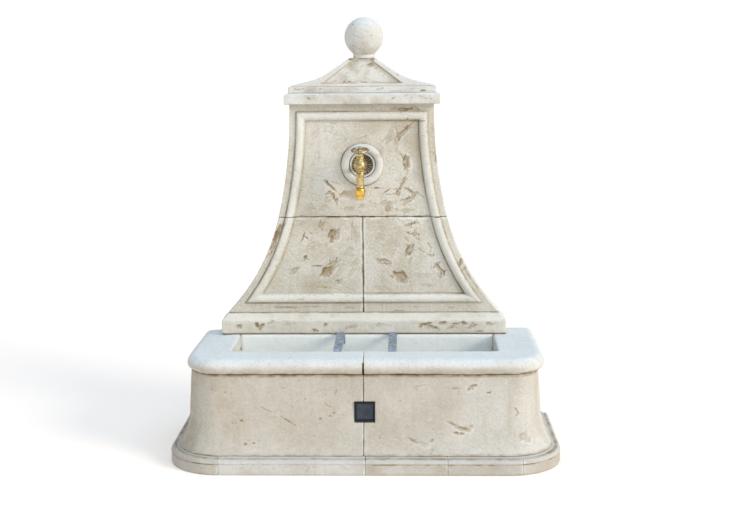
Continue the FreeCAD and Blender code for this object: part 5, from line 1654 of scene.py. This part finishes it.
# %% [markdown]
# ### Tap
# A bib tap has a shank through the rosette with a back nut, a pear-shaped valve body, a bonnet and a gland
# nut on the stem, and a spout that drops from the body into a bright nozzle. The stem leans forward, and
# the joint in the frame says by how much. The body could be sculpted, but the real one was turned, so it
# is turned here too.

# %% Tap body and shank
joint = frame["joints"][0]
STEM_AXIS = Vector(joint["axis"]).normalized()
body_low, body_high = (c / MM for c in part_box("tap_body"))
TAP = Vector([(body_low[k] + body_high[k]) / 2 for k in range(3)]) * MM
UPRIGHT = Matrix.Translation(TAP)
LEANING = Matrix.Translation(TAP) @ STEM_AXIS.to_track_quat("Z", "Y").to_matrix().to_4x4()
SHANK = Matrix.Translation(Vector((TAP.x, ROSE.y, ROSE.z))) @ Matrix.Rotation(math.pi / 2, 4, "X")


def tap_tarnish(points):
    """Tarnish that gathers on the right, broken by wear."""
    right = smooth(points[:, 0] - TAP.x, 0.006, 0.020)
    return np.clip(right * 0.45 + 0.30 * rough(points, 0.012, 2, 151), 0, 0.8)


pear = fillet_run([(0, -22), (15.6, -22), (16.6, -19), (15.8, -17), (19.5, -13), (23.2, -5), (23.8, 0),
                   (22.2, 8), (18.6, 15), (16.4, 19), (16.4, 22), (0, 22)], 2.5)
turned_piece("tap_body_pear", [spin(pear, UPRIGHT, 80)], ["tap_body"], "aged_brass", tarnish=tap_tarnish)
reach = (ROSE.y - TAP.y) / MM
shank_line = [(12.4, 36), (14.5, 33), (14.5, 29), (12.0, 26), (12.0, 17), (0, 17)]
shank = fillet_run([(0, 0), (12.4, 0)] + [(radius, reach - back) for radius, back in shank_line], 1.5)
turned_piece("tap_shank_turned", [spin(shank, SHANK, 64)], ["tap_shank"], "aged_brass")
nut_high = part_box("tap_backnut")[1] / MM
nut_start = ROSE.y / MM - nut_high.y
nut_line = [(12.6, 0), (17.5, 0), (19.0, 1.5), (19.0, 8.5), (17.5, 10), (12.6, 10)]
nut = [(radius, nut_start + up) for radius, up in nut_line]
turned_piece("tap_back_nut", [spin(nut, SHANK, 96, hexagonal, closed=True)], ["tap_backnut"], "aged_brass")

print("tap body at", tuple(round(c, 3) for c in TAP))


# %% [markdown]
# ### Collar, spout and nozzle
# Below the body a collar, a slender spout and the nozzle hang on the same upright axis. The nozzle is the
# newest part and is polished, so it is the brightest thing on the fountain; it is open at its foot, with
# a bore for the water.

# %% Collar, spout and nozzle
collar = fillet_run([(0, -28), (16, -28), (18.8, -26.3), (18.8, -24), (16, -22.2), (0, -22.2)], 1.6)
turned_piece("tap_collar_ring", [spin(collar, UPRIGHT, 72)], ["tap_collar"], "aged_brass")
spout_foot = (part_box("tap_spout")[0].z - TAP.z) / MM
spout_line = [(0, 0), (14.2, 0), (14.6, 2.5), (13.2, 5), (12.8, 16), (13.8, 30), (14.9, 42)]
spout = fillet_run([(radius, spout_foot + up) for radius, up in spout_line]
                   + [(15.0, -32), (14.2, -28.2), (0, -28.2)], 2)
turned_piece("tap_spout_drop", [spin(spout, UPRIGHT, 64)], ["tap_spout"], "aged_brass",
             tarnish=lambda points: 0.6 * smooth(points[:, 2], TAP.z - 0.079, TAP.z - 0.083))
nozzle_foot = (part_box("tap_nozzle")[0].z - TAP.z) / MM
nozzle_line = [(9, 0.5), (10, 0), (12.6, 0), (13.2, 1.5), (13.2, 10), (15.4, 14), (17.8, 20), (18.5, 27),
               (18.2, 33), (16.8, 38), (14, 40), (0.5, 40)]
nozzle = fillet_run([(radius, nozzle_foot + up) for radius, up in nozzle_line], 2.0)
bore = [(0.5, nozzle_foot + 16), (9, nozzle_foot + 16)]
turned_piece("tap_nozzle_bright", [spin(bore + nozzle, UPRIGHT, 80)], ["tap_nozzle"], "polished_brass")
print("the nozzle's foot is", round(-nozzle_foot, 1), "mm below the body's middle")


# %% [markdown]
# ### Bonnet, gland and stem
# These three lean with the stem. The bonnet is six-sided below and round above, so its shape function
# mixes the two by height. The stem belongs to the handwheel's body and turns with it.

# %% Bonnet, gland and stem
bonnet = [(0, 13), (14, 13), (14, 22), (13.2, 23.5), (13.2, 25), (13.9, 26.5), (13.6, 31), (12, 33.8),
          (5.1, 33.8)]


def bonnet_shape(angles, radii, heights):
    """Six flats on the bonnet's lower half only."""
    flat, _ = hexagonal(angles, radii, heights)
    low = smooth(heights, 25.5, 23.5)
    return radii * (1 - low) + flat * low, heights


turned_piece("tap_bonnet_nut", [spin(bonnet, LEANING, 96, bonnet_shape)], ["tap_bonnet"], "aged_brass")
gland = [(5.1, 34.1), (10.4, 34.1), (11.4, 35.2), (11.4, 41.5), (10.2, 43.9), (5.1, 43.9)]
turned_piece("tap_gland_nut", [spin(gland, LEANING, 96, hexagonal, closed=True)], ["tap_gland"], "aged_brass")
stem = fillet_run([(0, 27.2), (4.9, 27.2), (4.9, 46), (5.0, 49), (4.6, 69.2), (3.4, 69.9), (0, 69.9)], 0.8)
turned_piece("tap_stem_rod", [spin(stem, LEANING, 48)], ["tap_stem"], "aged_brass", "handwheel")
print("the stem is", 69.9 - 27.2, "mm long")


# %% [markdown]
# ### The handwheel
# The wheel was cast: a round rim with soft finger lobes, a hub, and spokes that are thinner in the middle
# than at their ends. Rim and hub are spun; each spoke is a short loft of ellipses.

# %% Handwheel and its nut
WHEEL_MIDDLE, WHEEL_RADIUS, WHEEL_TUBE, SPOKES, LOBES = 56.0, 28.9, 5.1, 5, 10


def lobed(angles, radii, heights):
    """Finger lobes round the wheel's rim."""
    swell = 0.5 + 0.5 * np.cos(LOBES * angles)
    middle = WHEEL_RADIUS - 0.6 + 0.6 * swell
    thick = 0.90 + 0.10 * swell
    return middle + (radii - WHEEL_RADIUS) * thick, WHEEL_MIDDLE + (heights - WHEEL_MIDDLE) * thick


rim_circle = [(WHEEL_RADIUS + WHEEL_TUBE * math.cos(a), WHEEL_MIDDLE + WHEEL_TUBE * math.sin(a))
              for a in np.linspace(0, 2 * math.pi, 20, endpoint=False)]
hub = fillet_run([(5.0, 50.2), (9.5, 50.2), (14, 52.5), (14.5, 56), (14, 58.5), (10, 61.8), (5.0, 61.8)], 1.5)
wheel_parts = [spin(rim_circle, LEANING, 120, lobed, closed=True, step=9.0),
               spin(hub + [(5.0, 50.2)], LEANING, 60)]
for spoke in range(SPOKES):
    angle = 2 * math.pi * spoke / SPOKES
    rings = []
    for share in np.linspace(0, 1, 12):
        radius, waist = 9.0 + share * (WHEEL_RADIUS - 10.5), math.sin(math.pi * share)
        wide, thick, lift = 6.4 - 1.6 * waist, 2.3 - 0.5 * waist, WHEEL_MIDDLE + 0.8 * waist
        rings.append([(radius, wide * math.cos(a), lift + thick * math.sin(a))
                      for a in np.linspace(0, 2 * math.pi, 14, endpoint=False)])
    rings = np.array(rings) * MM
    turned_by = np.array(LEANING @ Matrix.Rotation(angle, 4, "Z"))
    points = rings.reshape(-1, 3) @ turned_by[:3, :3].T + turned_by[:3, 3]
    wheel_parts.append((points, capped_faces(*rings.shape[:2])))
turned_piece("tap_wheel_cast", wheel_parts, ["tap_handwheel"], "aged_bronze", "handwheel")
wheel_nut = [(5.1, 62.1), (7.0, 62.1), (7.9, 63), (7.9, 66), (6.4, 68.6), (5.1, 69.5)]
turned_piece("tap_wheel_nut_six", [spin(wheel_nut, LEANING, 72, hexagonal, closed=True)], ["tap_wheel_nut"],
             "aged_bronze", "handwheel")
print("the handwheel leans", round(math.degrees(STEM_AXIS.angle(Vector((0, 0, 1)))), 1), "degrees")


# %% [markdown]
# ## Steel fittings
# Two flat bars lie across the trough to carry a bucket, and a painted plate in a thin frame closes the
# overflow. They are sawn from flat stock, so they are the frame's own solids with their arrises eased.

# %% Bars and lugs
def eased_copy(name, node_name, slot, ease_mm, cuts):
    """A copy of a CAD node with eased edges and enough points for a slightly uneven face."""
    work = bmesh.new()
    work.from_mesh(frame["nodes"][node_name].data)
    bmesh.ops.remove_doubles(work, verts=work.verts, dist=1e-5)
    bmesh.ops.dissolve_limit(work, angle_limit=0.01, verts=work.verts, edges=work.edges)
    bmesh.ops.bevel(work, geom=work.edges[:], offset=ease_mm * MM, segments=2, profile=0.5, affect="EDGES")
    long_edges = [e for e in work.edges if e.calc_length() > 12 * MM]
    bmesh.ops.subdivide_edges(work, edges=long_edges, cuts=cuts, use_grid_fill=True)
    bmesh.ops.triangulate(work, faces=[f for f in work.faces if len(f.verts) > 4])
    for vertex in work.verts:
        vertex.co.z -= 0.25 * MM * (0.5 + 0.5 * noise(np.array([vertex.co]), 0.02, 5)[0])
    mesh = bpy.data.meshes.new(name)
    work.to_mesh(mesh)
    work.free()
    mesh.shade_smooth()
    piece = place(name, mesh, [node_name], slot)
    piece.modifiers.new("even_shading", "WEIGHTED_NORMAL")
    return piece


for word in ("left", "right"):
    eased_copy("steel_bar_" + word, "bucket_bar_" + word, "grey_steel", 1.2, 8)
    eased_copy("steel_lug_" + word, "bar_lug_" + word, "grey_steel", 0.8, 2)


print("bars and lugs are placed")


# %% [markdown]
# ### The overflow
# The overflow's cover is a thin square frame round a square plate, both painted. Spinning with a shape
# function that pulls each ring out to a square gives the bevelled profile and its mitred corners at once.

# %% Overflow
def squared(angles, radii, heights):
    """Pulls a ring out to a square of that half width."""
    return radii / np.maximum(abs(np.cos(angles)), abs(np.sin(angles))), heights


plate_place = Vector((plate_x, plate_high.y, plate_z)) * MM
PLATE = Matrix.Translation(plate_place) @ Matrix.Rotation(math.pi / 2, 4, "X")
PLATE = PLATE @ Matrix.Diagonal((0.965, 0.93, 1, 1))           # a thin gap of shadow is left round the frame
proud = plate_high.y - plate_low.y
plate_box = [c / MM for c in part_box("overflow_plate")]
opening = (plate_box[1].x - plate_box[0].x) / 2
plate_front, plate_back = plate_high.y - plate_box[0].y, plate_high.y - plate_box[1].y
frame_line = [(opening, 0.2), (opening, proud - 1.2), (opening + 0.6, proud - 0.2), (opening + 1.4, proud),
              (plate_half - 1.6, proud), (plate_half - 0.5, proud - 0.4), (plate_half, proud - 1.6),
              (plate_half, 0.2)]
# The frame is near black all over, partly as a painted shadow round the plate.
turned_piece("overflow_frame_steel", [spin(frame_line, PLATE, 64, squared, closed=True)], ["overflow_frame"],
             "blued_steel", tarnish=lambda points: np.ones(len(points)))
plate_line = [(0.4, plate_back), (opening - 0.3, plate_back), (opening - 0.3, plate_front - 1.2),
              (opening - 1.2, plate_front - 0.3), (opening - 2.6, plate_front), (0.4, plate_front)]
turned_piece("overflow_plate_steel", [spin(plate_line, PLATE, 64, squared, step=3.0)], ["overflow_plate"],
             "blued_steel", tarnish=lambda points: 0.35 * smooth(rough(points, 0.02, 2, 152), 0, 0.8))
print("fittings are placed")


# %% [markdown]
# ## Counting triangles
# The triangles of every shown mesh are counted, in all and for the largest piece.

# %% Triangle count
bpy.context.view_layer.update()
triangles = {o.name: sum(len(p.vertices) - 2 for p in o.data.polygons)
             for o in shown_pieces() if o.type == "MESH"}
print("triangles in all:", sum(triangles.values()), "the largest piece:", max(triangles.values()))
